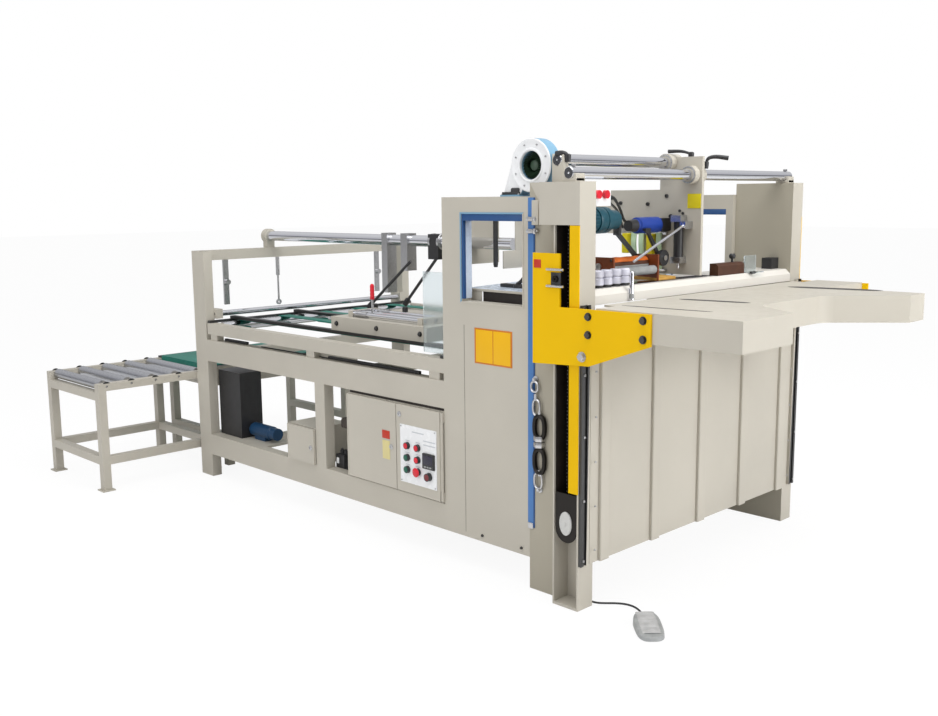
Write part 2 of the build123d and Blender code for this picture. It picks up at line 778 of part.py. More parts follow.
# Blower, a scroll on top of the left side frame, with its outlet turned down into it
blower_x = back(blower_back)
blower_z = side_high + blower_rise
blower_y = (side_y + blower_offset, side_y + blower_offset + blower_width)
flange_x = (blower_x - blower_radius - outlet_lean, blower_x - blower_radius - outlet_lean + outlet_width + 10)
with BuildPart() as blower:
    with BuildSketch(plane_y(blower_y[0])):
        with Locations((blower_x, blower_z)):
            Circle(blower_radius)
        with BuildLine():
            Polyline((blower_x - blower_radius, blower_z + 6), (flange_x[0] + 5, side_high + flange_sheet),
                     (flange_x[1] - 5, side_high + flange_sheet), (blower_x, blower_z - 20), close=True)
        make_face()
    extrude(amount=-blower_width)
    block(flange_x, (blower_y[0] - 12, blower_y[1]), (side_high, side_high + flange_sheet))
    rod("y", blower_eye, blower_y[0] - 1, blower_y[1] - 6, (blower_x, blower_z), mode=Mode.SUBTRACT)
finish("blower", blower.part)

# Belt bed: side rails with the end roller's brackets, rollers, belts
rail_y = (side_y + 2, side_y + 48)
end_roller_place = (beam_start - 1, bed_height + end_roller_rise)
with BuildPart() as bed_rail:
    block((beam_start + 10, beam_end - seat), rail_y, (bed_rail_low, bed_rail_high))
    for x in (beam_start + 60, (beam_start + beam_end) / 2, beam_end - 60):
        block((x - 30, x + 30), (rail_y[0] + 4, rail_y[1] - 4), (upper_beam_high, bed_rail_low))
with BuildPart() as roller_bracket:
    block((beam_start - 46, beam_start + 20), (side_y + frame_tube, side_y + 87),
          (bed_rail_high + slide_plate + 6, end_roller_place[1] + 24))
    rod("y", 8, side_y + 47, side_y + 88, end_roller_place, mode=Mode.SUBTRACT)
finish("bed_rails", Compound([bed_rail.part, roller_bracket.part, other_side(bed_rail.part),
                              other_side(roller_bracket.part)]))
bed_inner = (rail_y[1], 2 * mid_y - rail_y[1])
roller_places = (beam_start + 60, beam_end - 60)
with BuildPart() as bed_rollers:
    for x in roller_places:
        rod("y", bed_roller_radius, bed_inner[0] + 10, bed_inner[1] - 10, (x, bed_height))
        rod("y", 10, bed_inner[0], bed_inner[1], (x, bed_height))
    rod("y", end_roller_radius, side_y + 90, far_side_y - 90, end_roller_place)
    rod("y", 8, side_y + frame_tube + 2, far_side_y - frame_tube - 2, end_roller_place)
finish("bed_rollers", bed_rollers.part)
with BuildPart() as bed_belt:
    span = roller_places[1] - roller_places[0]
    centre = (roller_places[0] + roller_places[1]) / 2
    with BuildSketch(plane_y(0)):
        with Locations((centre, bed_height)):
            SlotCenterToCenter(span, 2 * (bed_roller_radius + belt_sheet + seat))
            SlotCenterToCenter(span, 2 * (bed_roller_radius + seat), mode=Mode.SUBTRACT)
    extrude(amount=-belt_width)
belt_pitch = (bed_inner[1] - bed_inner[0] - 40) / belt_count
belts = [bed_belt.part.moved(Location((0, bed_inner[0] + 20 + (i + 0.5) * belt_pitch - belt_width / 2, 0)))
         for i in range(belt_count)]
finish("bed_belts", Compound(belts))

# Slides over the belts, carried by a plate across the rails at either end
slide_z = (bed_rail_high + slide_plate, bed_rail_high + slide_plate + slide_bar_height)
press_y = (press_near, press_near + press_width)
with BuildPart() as bed_slides:
    for x in (beam_start + 4, beam_end - 27):
        block((x, x + 23), (rail_y[0] + 5, 2 * mid_y - rail_y[0] - 5), (bed_rail_high, slide_z[0]))
    for y in (press_y[0], press_y[1] - slide_bar_width):
        block((beam_start + 4, beam_end - 4), (y, y + slide_bar_width), slide_z)
finish("bed_slides", bed_slides.part)

# Press carriage, a folded tray open underneath, with its polished rods and knobs
press_x = (back(press_back + press_length), back(press_back))
press_low = slide_z[1]
press_top = press_low + press_height
with BuildPart() as press_carriage:
    block(press_x, press_y, (press_low, press_top))
    block((press_x[0] + press_sheet, press_x[1] - press_sheet),
          (press_y[0] + press_sheet, press_y[1] - press_sheet), (press_low - 1, press_top - press_sheet),
          mode=Mode.SUBTRACT)
    rods_x = (press_x[0] + 100, press_x[1] - 85)
    for x in ((rods_x[0] - 20, rods_x[0] + 10), (rods_x[1] - 10, rods_x[1] + 20)):
        block(x, (press_y[0] + 36, press_y[0] + 194), (press_top, press_top + 28))
    for y in (50, 110, 180):
        rod("x", 9, rods_x[0], rods_x[1], (press_y[0] + y, press_top + 15))
    for x in (press_x[0] + 40, press_x[0] + 250):
        turned((x, press_y[0] + knob_offset, press_top), (0, 0, 1), (
            (0, 6), (18, 6), (18, knob_radius), (38, knob_radius), (42, knob_radius - 4)))
    rod("z", 5, press_top, press_top + 140, (press_x[0] + 173, press_y[0] + 100))
finish("press_carriage", press_carriage.part)

# Clear cover between the bed's rail and the side frame
with BuildPart() as clear_cover:
    block((beam_end - cover_length, beam_end - seat), (rail_y[0] + 29, rail_y[0] + 33),
          (slide_z[0], bed_rail_high + cover_height))
finish("clear_cover", clear_cover.part)

# Drive under the bed, on a tray beside the base beam
drive_y = (side_y + frame_tube, side_y + frame_tube + drive_depth)
with BuildPart() as drive_motor:
    block((beam_start, beam_start + drive_length), drive_y, (base_beam_high - 10, base_beam_high))
    block((beam_start + 4, beam_start + gearbox_length), (drive_y[0] + 6, drive_y[1] - 20),
          (base_beam_high, base_beam_high + gearbox_height))
    motor_z = base_beam_high + drive_motor_radius + 8
    motor_y = (drive_y[0] + drive_y[1]) / 2
    length, radius = drive_length - gearbox_length, drive_motor_radius
    turned((beam_start + gearbox_length, motor_y, motor_z), (1, 0, 0), (
        (0, radius - 8), (16, radius), (length - 60, radius), (length - 56, radius - 4), (length - 14, radius - 4),
    ))
    block((beam_start + gearbox_length + 50, beam_start + drive_length - 90), (motor_y - 26, motor_y + 26),
          (base_beam_high, motor_z - 20))
finish("drive_motor", drive_motor.part)

# Long guide shaft from the bar over the outfeed to a plate behind the side frames' windows
with BuildPart() as guide_shaft:
    rod("x", guide_shaft_radius, frame_end + 4, back(guide_shaft_front), (guide_shaft_y, guide_shaft_height))
finish("guide_shaft", guide_shaft.part)
plate_x = (back(support_plate_back), back(support_plate_back) + 12)
bar_z = (side_high - 59, side_high - 9)
support_end = back(side_back - 14)
with BuildPart() as guide_brackets:
    bracket_x = (frame_end + 6, frame_end + 40)
    rod("x", guide_shaft_radius + bracket_wall, *bracket_x, (guide_shaft_y, guide_shaft_height))
    block(bracket_x, (guide_shaft_y - 24, guide_shaft_y + 24), (post_height, guide_shaft_height))
    rod("x", guide_shaft_radius, bracket_x[0] - 1, bracket_x[1] + 1, (guide_shaft_y, guide_shaft_height),
        mode=Mode.SUBTRACT)
with BuildPart() as guide_support:
    block(plate_x, (guide_shaft_y - 160, guide_shaft_y + 154), (guide_shaft_height - 90, bar_z[1]))
    rod("x", guide_shaft_radius + 28, plate_x[0] - 20, plate_x[0], (guide_shaft_y, guide_shaft_height))
    for y in (guide_shaft_y - 160, guide_shaft_y + 154 - support_bar):
        block((plate_x[1], support_end), (y, y + support_bar), bar_z)
    block((support_end, support_end + support_bar), inner_y, bar_z)
    rod("x", guide_shaft_radius, plate_x[0] - 21, plate_x[1] + 1, (guide_shaft_y, guide_shaft_height),
        mode=Mode.SUBTRACT)
finish("guide_brackets", Compound([guide_brackets.part, guide_support.part]))

# Levers that hang from the guide shaft over the press carriage
lever_y = guide_shaft_y - 30
hangers = (
    ((press_x[0] + 30, press_x[0] + 70), press_top + 90),
    ((press_x[0] + 165, press_x[0] + 210), guide_shaft_height - 135),
    ((press_x[0] + 350, press_x[0] + 415), guide_shaft_height - 77),
)
with BuildPart() as press_levers:
    for x, low in hangers:
        block(x, (lever_y - 2, guide_shaft_y + 24), (low, guide_shaft_height + guide_shaft_radius + 8))
        rod("x", guide_shaft_radius, x[0] - 1, x[1] + 1, (guide_shaft_y, guide_shaft_height), mode=Mode.SUBTRACT)
    for top, foot in (((231, guide_shaft_height - 91), (-58, press_top + 27)),
                      ((403, guide_shaft_height - 72), (202, press_top + 60))):
        start, end = (press_x[0] + top[0], lever_y, top[1]), (press_x[0] + foot[0], lever_y, foot[1])
        leaning_rod(start, end, lever_radius)
        run = (Vector(*end) - Vector(*start)).normalized()
        leaning_rod(Vector(*end) - run * 8, Vector(*end) + run * 22, knob_radius)
finish("press_levers", press_levers.part)

# Outfeed conveyor across the machine's end
conveyor_x = (-stand_left, -stand_right)
conveyor_y = (-stand_near + stand_length + seat, -stand_near + stand_length + conveyor_length)
with BuildPart() as outfeed_conveyor:
    for x in (conveyor_x[0], conveyor_x[1] - leg_size):
        block((x, x + leg_size), conveyor_y, (stand_top - 100, stand_top))
        for y in (conveyor_y[0] + 60, conveyor_y[1] - 100):
            tube("z", (x, x + leg_size), (y, y + leg_size), (0, stand_top - 100), leg_wall)
    for y in (conveyor_y[0] + 60, conveyor_y[1] - 100):
        tube("x", (conveyor_x[0] + leg_size, conveyor_x[1] - leg_size), (y, y + leg_size),
             (stringer_height, stringer_height + 40), leg_wall)
finish("outfeed_conveyor", outfeed_conveyor.part)
with BuildPart() as outfeed_belt:
    block((conveyor_x[0] + leg_size + seat, conveyor_x[1] - leg_size - seat), conveyor_y,
          (stand_top - 80, stand_top + 5))
finish("outfeed_belt", outfeed_belt.part)

# Roller stand
stand_y = (-stand_near, -stand_near + stand_length)
with BuildPart() as roller_stand:
    for x in (conveyor_x[0], conveyor_x[1] - leg_size):
        for y in (stand_y[0], stand_y[1] - leg_size):
            tube("z", (x, x + leg_size), (y, y + leg_size), (6, stand_top - stand_rail_depth), leg_wall)
            block((x - 12, x + leg_size + 12), (y - 12, y + leg_size + 12), (0, 6))
        tube("y", (x, x + leg_size), (stand_y[0] + leg_size, stand_y[1] - leg_size),
             (stringer_height, stringer_height + 40), leg_wall)
        block((x, x + leg_size), stand_y, (stand_top - stand_rail_depth, stand_top - 10))
    for y in (stand_y[0], stand_y[1] - leg_size):
        tube("x", (conveyor_x[0] + leg_size, conveyor_x[1] - leg_size), (y, y + leg_size),
             (stringer_height, stringer_height + 40), leg_wall)
        tube("x", (conveyor_x[0] + leg_size, conveyor_x[1] - leg_size), (y, y + leg_size),
             (stand_top - 92, stand_top - 52), leg_wall)
    for i in range(roller_count):
        y = stand_y[0] + 45 + i * roller_pitch
        rod("x", 6.3, conveyor_x[0] - 1, conveyor_x[1] + 1, (y, stand_top - 24), mode=Mode.SUBTRACT)
    block((conveyor_x[1], frame_end), (side_y + 5, side_y + 45), (stand_top - stand_rail_depth, stand_top - 14))
finish("roller_stand", roller_stand.part)
for i in range(roller_count):
    with BuildPart() as stand_roller:
        y = stand_y[0] + 45 + i * roller_pitch
        rod("x", roller_radius, conveyor_x[0] + leg_size + 5, conveyor_x[1] - leg_size - 5, (y, stand_top - 24))
        rod("x", 6, conveyor_x[0] + 4, conveyor_x[1] - 4, (y, stand_top - 24))
    finish(f"stand_roller_{i + 1}", stand_roller.part)

# Foot switch on the floor, its cord and the gland in the column
switch_plane = Plane(origin=(face_x + 264, lip_y + 43, 0), x_dir=(0.72, -0.69, 0), z_dir=(0, 0, 1))
with BuildPart() as foot_switch:
    with BuildSketch(switch_plane):
        RectangleRounded(switch_length, switch_width, switch_width / 2 - 4)
    extrude(amount=switch_height, taper=14)
finish("foot_switch", foot_switch.part)

gland_place = (-half_channel - 44, web_y, 70)
with BuildPart() as cord_gland:
    for radius, share in ((9, 0.5), (6, 1)):
        rod("y", radius, web_y, web_y + share * gland_length, (gland_place[0], gland_place[2]))
    rod("y", cord_radius + seat, web_y - 1, web_y + gland_length + 1, (gland_place[0], gland_place[2]), mode=Mode.SUBTRACT)
finish("cord_gland", cord_gland.part)

floor_z = cord_radius + 0.3
cord_route = [
    (-100, 64, 70), (-98, 94, 65), (-90, 114, 38), (-68, 112, 12), (-38, 92, floor_z), (-6, 70, floor_z),
    (28, 58, floor_z), (60, 62, floor_z), (84, 82, floor_z), (108, 106, floor_z), (138, 124, floor_z),
    (172, 126, floor_z), (208, 110, floor_z), (238, 84, floor_z + 1), (258, 65, floor_z + 3),
]
radii = []
for before, corner, after in zip(cord_route, cord_route[1:], cord_route[2:]):
    run_in, run_out = Vector(*corner) - Vector(*before), Vector(*after) - Vector(*corner)
    turn = radians(run_in.get_angle(run_out))
    radii.append(0.45 * min(run_in.length, run_out.length) / tan(turn / 2))
print("cord radii", [round(radius) for radius in radii])
with BuildPart() as foot_switch_cord:
    with BuildLine() as cord_line:
        FilletPolyline(*cord_route, radius=radii)
    with BuildSketch(Plane(origin=cord_line.line @ 0, z_dir=cord_line.line % 0)):
        Circle(cord_radius)
    sweep(path=cord_line.line)
cord_length = cord_line.wire().length
print("cord length", round(cord_length), "volume ratio",
      round(foot_switch_cord.part.volume / (pi * cord_radius ** 2 * cord_length), 4))
finish("foot_switch_cord", foot_switch_cord.part)
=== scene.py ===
"""Finishes and fine detail of a semi-automatic carton folding and gluing machine.

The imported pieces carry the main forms, apart from a pan and a few plates under the head. This
script dresses them, adds those and what is too fine for them, and sets a plain studio with a
camera at the photograph's angle. Everything is in metres, +Z up, +X towards the feed table and
-Y towards the control cabinet.
"""
from __future__ import annotations

import logging
import math
from dataclasses import dataclass
from enum import Enum
from typing import Sequence

import bmesh
import bpy
import numpy as np
from mathutils import Matrix, Vector


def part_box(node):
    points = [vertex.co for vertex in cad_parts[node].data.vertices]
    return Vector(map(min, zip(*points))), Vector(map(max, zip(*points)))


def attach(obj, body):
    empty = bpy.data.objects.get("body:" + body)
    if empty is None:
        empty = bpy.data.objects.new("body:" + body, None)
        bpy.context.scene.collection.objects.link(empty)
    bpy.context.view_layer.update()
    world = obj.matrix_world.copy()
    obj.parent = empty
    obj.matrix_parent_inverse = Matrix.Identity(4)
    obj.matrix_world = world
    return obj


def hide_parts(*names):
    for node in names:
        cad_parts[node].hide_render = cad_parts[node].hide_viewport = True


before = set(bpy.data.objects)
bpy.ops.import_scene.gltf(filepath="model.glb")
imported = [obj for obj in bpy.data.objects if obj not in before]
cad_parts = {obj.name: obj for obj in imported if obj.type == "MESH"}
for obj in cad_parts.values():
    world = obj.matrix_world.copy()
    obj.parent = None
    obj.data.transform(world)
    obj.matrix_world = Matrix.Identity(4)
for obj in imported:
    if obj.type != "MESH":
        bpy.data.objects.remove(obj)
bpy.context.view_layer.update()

Colour = tuple[float, float, float]
Point = tuple[float, float, float]
log = logging.getLogger("gluer")


# Finishes

class NodeSheet:
    """A material's node tree, with short ways to add and join nodes."""

    def __init__(self, name: str) -> None:
        """Start an empty material of that name.

        Args:
            name: The material's name.
        """
        self.material = bpy.data.materials.new(name)
        self.material.use_nodes = True
        self.tree = self.material.node_tree
        self.tree.nodes.clear()
        self.output = self.add("ShaderNodeOutputMaterial")
        self.shader = self.add("ShaderNodeBsdfPrincipled")
        self.join(self.shader.outputs[0], self.output.inputs["Surface"])

    def add(self, kind: str, **settings: object) -> bpy.types.Node:
        """Add a node.

        Args:
            kind: The node's type name.
            **settings: Its properties, or its inputs by name with spaces as underscores.

        Returns:
            The new node.
        """
        node = self.tree.nodes.new(kind)
        for key, value in settings.items():
            if hasattr(node, key):
                setattr(node, key, value)
            else:
                node.inputs[key.replace("_", " ")].default_value = value
        return node

    def join(self, start: bpy.types.NodeSocket, end: bpy.types.NodeSocket) -> None:
        """Link an output to an input."""
        self.tree.links.new(start, end)

    def noise(self, scale: float, detail: float = 3.0, stretch: Point = (1, 1, 1)) -> bpy.types.NodeSocket:
        """Noise on object coordinates.

        Args:
            scale: Features per metre.
            detail: Octaves.
            stretch: Factor along each axis.

        Returns:
            The noise value, from 0 to 1.
        """
        place = self.add("ShaderNodeTexCoord")
        mapping = self.add("ShaderNodeMapping")
        mapping.inputs["Scale"].default_value = stretch
        self.join(place.outputs["Object"], mapping.inputs["Vector"])
        noise = self.add("ShaderNodeTexNoise", Scale=scale, Detail=detail)
        self.join(mapping.outputs[0], noise.inputs["Vector"])
        return noise.outputs[0]

    def between(self, value: bpy.types.NodeSocket, low: float, high: float,
                to_low: float, to_high: float) -> bpy.types.NodeSocket:
        """Map a value range onto another, clamped.

        Args:
            value: The value.
            low: Low end of its range.
            high: High end of its range.
            to_low: Result at the low end.
            to_high: Result at the high end.

        Returns:
            The mapped value.
        """
        node = self.add("ShaderNodeMapRange")
        for key, number in (("From Min", low), ("From Max", high), ("To Min", to_low), ("To Max", to_high)):
            node.inputs[key].default_value = number
        self.join(value, node.inputs["Value"])
        return node.outputs[0]

    def blend(self, factor: bpy.types.NodeSocket, first: Colour, second: Colour) -> bpy.types.NodeSocket:
        """Two colours mixed by a value, first at 0 and second at 1.

        Args:
            factor: Share of the second colour.
            first: First colour.
            second: Second colour.

        Returns:
            The mixed colour.
        """
        node = self.add("ShaderNodeMix", data_type="RGBA")
        node.inputs[6].default_value = (*first, 1)
        node.inputs[7].default_value = (*second, 1)
        self.join(factor, node.inputs[0])
        return node.outputs[2]

    def bump(self, height: bpy.types.NodeSocket, depth: float, strength: float = 0.5) -> None:
        """Bump on the main shader, depth in metres.

        Args:
            height: The value that gives the height.
            depth: Height of its full range.
            strength: Strength of the effect, from 0 to 1.
        """
        node = self.add("ShaderNodeBump", Distance=depth, Strength=strength)
        self.join(height, node.inputs["Height"])
        self.join(node.outputs[0], self.shader.inputs["Normal"])


def shade(colour: Colour, factor: float) -> Colour:
    """The colour made darker or lighter by a factor."""
    return tuple(min(1.0, channel * factor) for channel in colour)


FLOOR_DUST: Colour = (0.30, 0.27, 0.22)
DUST_HEIGHT = 0.25              # metres above the floor
FINE_SCALE = 420                # features per metre of orange peel and of lines in metal


@dataclass(frozen=True)
class Finish:
    """A finish of the machine, with one material made on first use."""

    name: str
    colour: Colour
    slot: str
    roughness: float = 0.4

    def dress(self, sheet: NodeSheet) -> None:
        """Set the shader up; each kind of finish has its own way.

        Args:
            sheet: The material's nodes.
        """
        raise NotImplementedError

    def material(self) -> bpy.types.Material:
        """The finish's material, made once.

        Returns:
            The material.
        """
        known = bpy.data.materials.get(self.name)
        if known is not None:
            return known
        sheet = NodeSheet(self.name)
        sheet.shader.inputs["Base Color"].default_value = (*self.colour, 1)
        sheet.shader.inputs["Roughness"].default_value = self.roughness
        self.dress(sheet)
        return sheet.material


@dataclass(frozen=True)
class Paint(Finish):
    """Powder paint on sheet steel: faint orange peel, slight patches and dust near the floor."""

    variation: float = 0.05
    dust: float = 0.12
    gloss: float = 0.4

    def dress(self, sheet: NodeSheet) -> None:
        """Patches of tone, floor dust in the lowest 25 cm and a fine orange peel.

        Args:
            sheet: The material's nodes.
        """
        darker, lighter = (shade(self.colour, 1 + side * self.variation) for side in (-1, 1))
        patches = sheet.blend(sheet.between(sheet.noise(2.2, 4), 0.3, 0.7, 0, 1), darker, lighter)
        place = sheet.add("ShaderNodeTexCoord")
        split = sheet.add("ShaderNodeSeparateXYZ")
        sheet.join(place.outputs["Object"], split.inputs[0])
        low = sheet.between(split.outputs[2], 0.0, DUST_HEIGHT, self.dust, 0.0)
        dirt = sheet.add("ShaderNodeMix", data_type="RGBA")
        sheet.join(low, dirt.inputs[0])
        sheet.join(patches, dirt.inputs[6])
        dirt.inputs[7].default_value = (*FLOOR_DUST, 1)
        sheet.join(dirt.outputs[2], sheet.shader.inputs["Base Color"])
        sheet.shader.inputs["Specular IOR Level"].default_value = self.gloss
        rough = sheet.between(sheet.noise(35, 3), 0.3, 0.7, self.roughness - 0.05, self.roughness + 0.07)
        sheet.join(rough, sheet.shader.inputs["Roughness"])
        sheet.bump(sheet.noise(FINE_SCALE, 2), 0.0003, 0.12)


@dataclass(frozen=True)
class Metal(Finish):
    """Bare or plated metal with fine lines along the way it was turned or brushed."""

    grain: Point = (1, 1, 1)
    lines: float = 0.00004

    def dress(self, sheet: NodeSheet) -> None:
        """Lines stretched across the grain, in tone, gloss and height.

        Args:
            sheet: The material's nodes.
        """
        sheet.shader.inputs["Metallic"].default_value = 1.0
        lines = sheet.noise(FINE_SCALE, 3, self.grain)
        tone = sheet.blend(lines, shade(self.colour, 0.92), shade(self.colour, 1.06))
        sheet.join(tone, sheet.shader.inputs["Base Color"])
        rough = sheet.between(lines, 0.3, 0.7, self.roughness * 0.75, self.roughness * 1.3)
        sheet.join(rough, sheet.shader.inputs["Roughness"])
        sheet.bump(lines, self.lines, 0.08)


@dataclass(frozen=True)
class Belting(Finish):
    """Coated conveyor belt with a fine weave showing through."""

    def dress(self, sheet: NodeSheet) -> None:
        """A small square weave in height and faint scuffs in tone.

        Args:
            sheet: The material's nodes.
        """
        scuffs = sheet.between(sheet.noise(14, 5, (0.25, 1, 1)), 0.35, 0.75, 0, 1)
        sheet.join(sheet.blend(scuffs, self.colour, shade(self.colour, 1.5)),
                   sheet.shader.inputs["Base Color"])
        place = sheet.add("ShaderNodeTexCoord")
        weave = sheet.add("ShaderNodeTexBrick", Scale=260.0)
        sheet.join(place.outputs["Object"], weave.inputs["Vector"])
        sheet.bump(weave.outputs["Fac"], 0.0003, 0.3)


@dataclass(frozen=True)
class Moulded(Finish):
    """Moulded plastic or rubber with a fine grained skin."""

    grain: float = 600.0

    def dress(self, sheet: NodeSheet) -> None:
        """A fine grain in height and slight patches of tone.

        Args:
            sheet: The material's nodes.
        """
        patches = sheet.between(sheet.noise(30, 3), 0.3, 0.7, 0, 1)
        sheet.join(sheet.blend(patches, shade(self.colour, 0.85), shade(self.colour, 1.2)),
                   sheet.shader.inputs["Base Color"])
        sheet.bump(sheet.noise(self.grain, 2), 0.0003, 0.2)


@dataclass(frozen=True)
class ClearSheet(Finish):
    """Clear plastic sheet, slightly smoked."""

    def dress(self, sheet: NodeSheet) -> None:
        """Mostly light passing straight through, with a glossy face and faint scratches.

        Args:
            sheet: The material's nodes.
        """
        sheet.shader.inputs["Transmission Weight"].default_value = 0.9
        sheet.shader.inputs["IOR"].default_value = 1.2
        sheet.bump(sheet.noise(60, 4, (1, 1, 6)), 0.0002, 0.06)


BEIGE = Paint("beige paint", (0.50, 0.470, 0.405), "beige_paint", 0.42, gloss=0.3)
# Darker copy of the beige paint: painted shade for column faces that turn away from the light.
PAINTED_SHADE_BEIGE = Paint("beige paint with painted shade", (0.40, 0.370, 0.300), "beige_paint", 0.5, gloss=0.2)
YELLOW = Paint("yellow paint", (0.78, 0.47, 0.0), "yellow_paint", 0.5, variation=0.04, dust=0.05, gloss=0.12)
LIGHT_BLUE = Paint("light blue paint", (0.19, 0.36, 0.50), "blue_paint", 0.35, dust=0.0)
# Darker copy of the trim blue: painted shade on the window trims' inner faces and along the posts' strips.
PAINTED_SHADE_BLUE = Paint("blue trim with painted shade", (0.018, 0.075, 0.22), "blue_paint", 0.35, dust=0.0)
TRIM_BLUE = Paint("trim blue", (0.06, 0.18, 0.44), "blue_paint", 0.4, dust=0.0)
# Near-black sheet colour: painted shade in slots, cavities and gaps.
PAINTED_SHADE_DARK = Moulded("painted shade dark", (0.018, 0.012, 0.009), "dark_steel", 0.6)
PAINT_SEAM = Moulded("paint seam", (0.24, 0.225, 0.19), "beige_paint", 0.6)
# Near-black glossy sheet colour: painted shade on the white deck.
PAINTED_SHADE_GLOSS = Moulded("glossy painted shade strip", (0.020, 0.011, 0.010), "white_sheet", 0.12)
DUCT_BROWN = Moulded("duct brown", (0.085, 0.070, 0.060), "black_rubber", 0.45)
DARK_GLUE = Moulded("glued plate", (0.20, 0.045, 0.010), "pad_brown", 0.35, grain=80.0)
WHITE_SHEET = Paint("white sheet", (0.66, 0.635, 0.585), "white_sheet", 0.35, variation=0.015, dust=0.0)
PANEL_WHITE = Paint("panel white", (0.82, 0.83, 0.84), "panel_white", 0.25, variation=0.01, dust=0.0)
PANEL_GREY = Paint("panel grey", (0.52, 0.54, 0.57), "panel_white", 0.4, variation=0.01, dust=0.0)
PALE_PAN = Paint("pale pan", (0.62, 0.70, 0.82), "white_sheet", 0.25, variation=0.05, dust=0.0)
PALE_HUB = Paint("pale hub", (0.55, 0.55, 0.53), "grey_cast", 0.35, variation=0.04, dust=0.0)
LIGHT_GREY = Moulded("light grey pedal", (0.42, 0.42, 0.42), "grey_cast", 0.5, grain=200.0)
RED_PLATE = Paint("red plate", (0.50, 0.03, 0.01), "yellow_paint", 0.35, variation=0.06, dust=0.0)
ORANGE_PLATE = Paint("orange plate", (0.56, 0.17, 0.01), "yellow_paint", 0.35, variation=0.05, dust=0.0)
SIGN_YELLOW = Paint("sign yellow", (0.74, 0.62, 0.02), "yellow_paint", 0.35, variation=0.06, dust=0.0,
                    gloss=0.2)
SIGN_AMBER = Paint("sign amber", (0.80, 0.44, 0.01), "yellow_paint", 0.35, variation=0.06, dust=0.0,
                   gloss=0.2)
SIGN_PALE = Paint("sign pale", (0.66, 0.58, 0.27), "yellow_paint", 0.35, variation=0.06, dust=0.0)
WOOD_YELLOW = Moulded("yellow feed plate", (0.62, 0.34, 0.07), "pad_brown", 0.45, grain=90.0)
ORANGE_GLUE = Moulded("glue coat", (0.46, 0.10, 0.012), "pad_brown", 0.25, grain=70.0)
PALE_GREEN = Belting("pale green belt", (0.42, 0.56, 0.36), "green_belt", 0.5)
DARK_GREEN = Moulded("dark green wheel", (0.02, 0.05, 0.025), "blue_paint", 0.4)
DRIVE_BLUE = Paint("drive motor blue", (0.010, 0.05, 0.12), "blue_motor", 0.35, variation=0.08, dust=0.0)
MOTOR_BLUE = Paint("motor blue", (0.015, 0.05, 0.30), "blue_motor", 0.35, variation=0.08, dust=0.0)
TEAL = Paint("teal motor paint", (0.008, 0.07, 0.10), "teal_paint", 0.35, variation=0.10, dust=0.0)
RED_CAP = Moulded("red cap", (0.62, 0.01, 0.025), "panel_white", 0.3)
DARK_RED_CAP = Moulded("dark red cap", (0.16, 0.012, 0.015), "panel_white", 0.35)
GREEN_CAP = Moulded("green cap", (0.005, 0.10, 0.06), "panel_white", 0.3)
BROWN = Moulded("brown pad", (0.060, 0.017, 0.004), "pad_brown", 0.5, grain=150.0)
CUP_WHITE = Moulded("cup white", (0.56, 0.56, 0.64), "panel_white", 0.35, grain=120.0)
CLEAR = ClearSheet("clear sheet", (0.80, 0.86, 0.88), "clear_sheet", 0.12)
CHROME_ACROSS = Metal("chrome across", (0.78, 0.79, 0.83), "chrome", 0.09, grain=(4, 0.1, 4))
CHROME_ALONG = Metal("chrome along", (0.78, 0.79, 0.83), "chrome", 0.09, grain=(0.1, 4, 4))
DARK_STEEL = Metal("dark steel", (0.09, 0.09, 0.09), "dark_steel", 0.4, grain=(4, 4, 0.3))
CHAIN_STEEL = Metal("chain steel", (0.035, 0.032, 0.030), "dark_steel", 0.38, grain=(3, 3, 3))
# Dark colour for the table's seam lines and for painted shade beside them.
SEAM_AND_SHADE_DARK = Moulded("dark seams and painted shade", (0.05, 0.048, 0.045), "dark_steel", 0.6)
DISPLAY_GLASS = Moulded("display glass", (0.012, 0.010, 0.03), "black_plastic", 0.08)
BRIGHT_STEEL = Metal("bright steel", (0.55, 0.55, 0.56), "bright_steel", 0.28, grain=(3, 0.5, 3))
BRONZE = Metal("bronze ring", (0.42, 0.36, 0.24), "beige_paint", 0.35, grain=(3, 3, 3))
GREEN_BELT = Belting("green belt", (0.01, 0.16, 0.12), "green_belt", 0.5)
ROLLER_GREY = Metal("roller grey", (0.50, 0.51, 0.54), "roller_grey", 0.3, grain=(0.1, 4, 4))
BLACK_RUBBER = Moulded("black rubber", (0.03, 0.03, 0.032), "black_rubber", 0.55)
BLACK_PLASTIC = Moulded("black plastic", (0.02, 0.02, 0.022), "black_plastic", 0.4)
GREY_CAST = Moulded("grey casting", (0.30, 0.31, 0.31), "grey_cast", 0.5, grain=200.0)

NODE_FINISH: dict[str, Finish] = {
    "left_carriage": YELLOW, "right_carriage": YELLOW, "slot_covers": YELLOW,
    "blower": LIGHT_BLUE, "window_trims": LIGHT_BLUE, "feed_deck": WHITE_SHEET, "control_panel": PANEL_WHITE,
    "head_shafts": CHROME_ACROSS, "guide_shaft": CHROME_ALONG, "bed_rollers": CHROME_ACROSS,
    "guide_rails": DARK_STEEL, "lift_chains": DARK_STEEL, "chain_wheels": BRIGHT_STEEL,
    "bed_belts": GREEN_BELT, "outfeed_belt": GREEN_BELT, "foot_switch": GREY_CAST,
    "foot_switch_cord": BLACK_RUBBER, "cord_gland": BLACK_PLASTIC, "folding_motor": TEAL,
    "belt_drive": MOTOR_BLUE, "clear_cover": CLEAR, "folding_arm": DARK_STEEL, "glue_rollers": BROWN,
    "suction_bellows": CUP_WHITE, "air_cylinder": BRIGHT_STEEL, "side_guide": BROWN, "stop_box": PANEL_WHITE,
    "bed_slides": DARK_STEEL, "drive_motor": BLACK_PLASTIC, "press_levers": BRIGHT_STEEL,
}


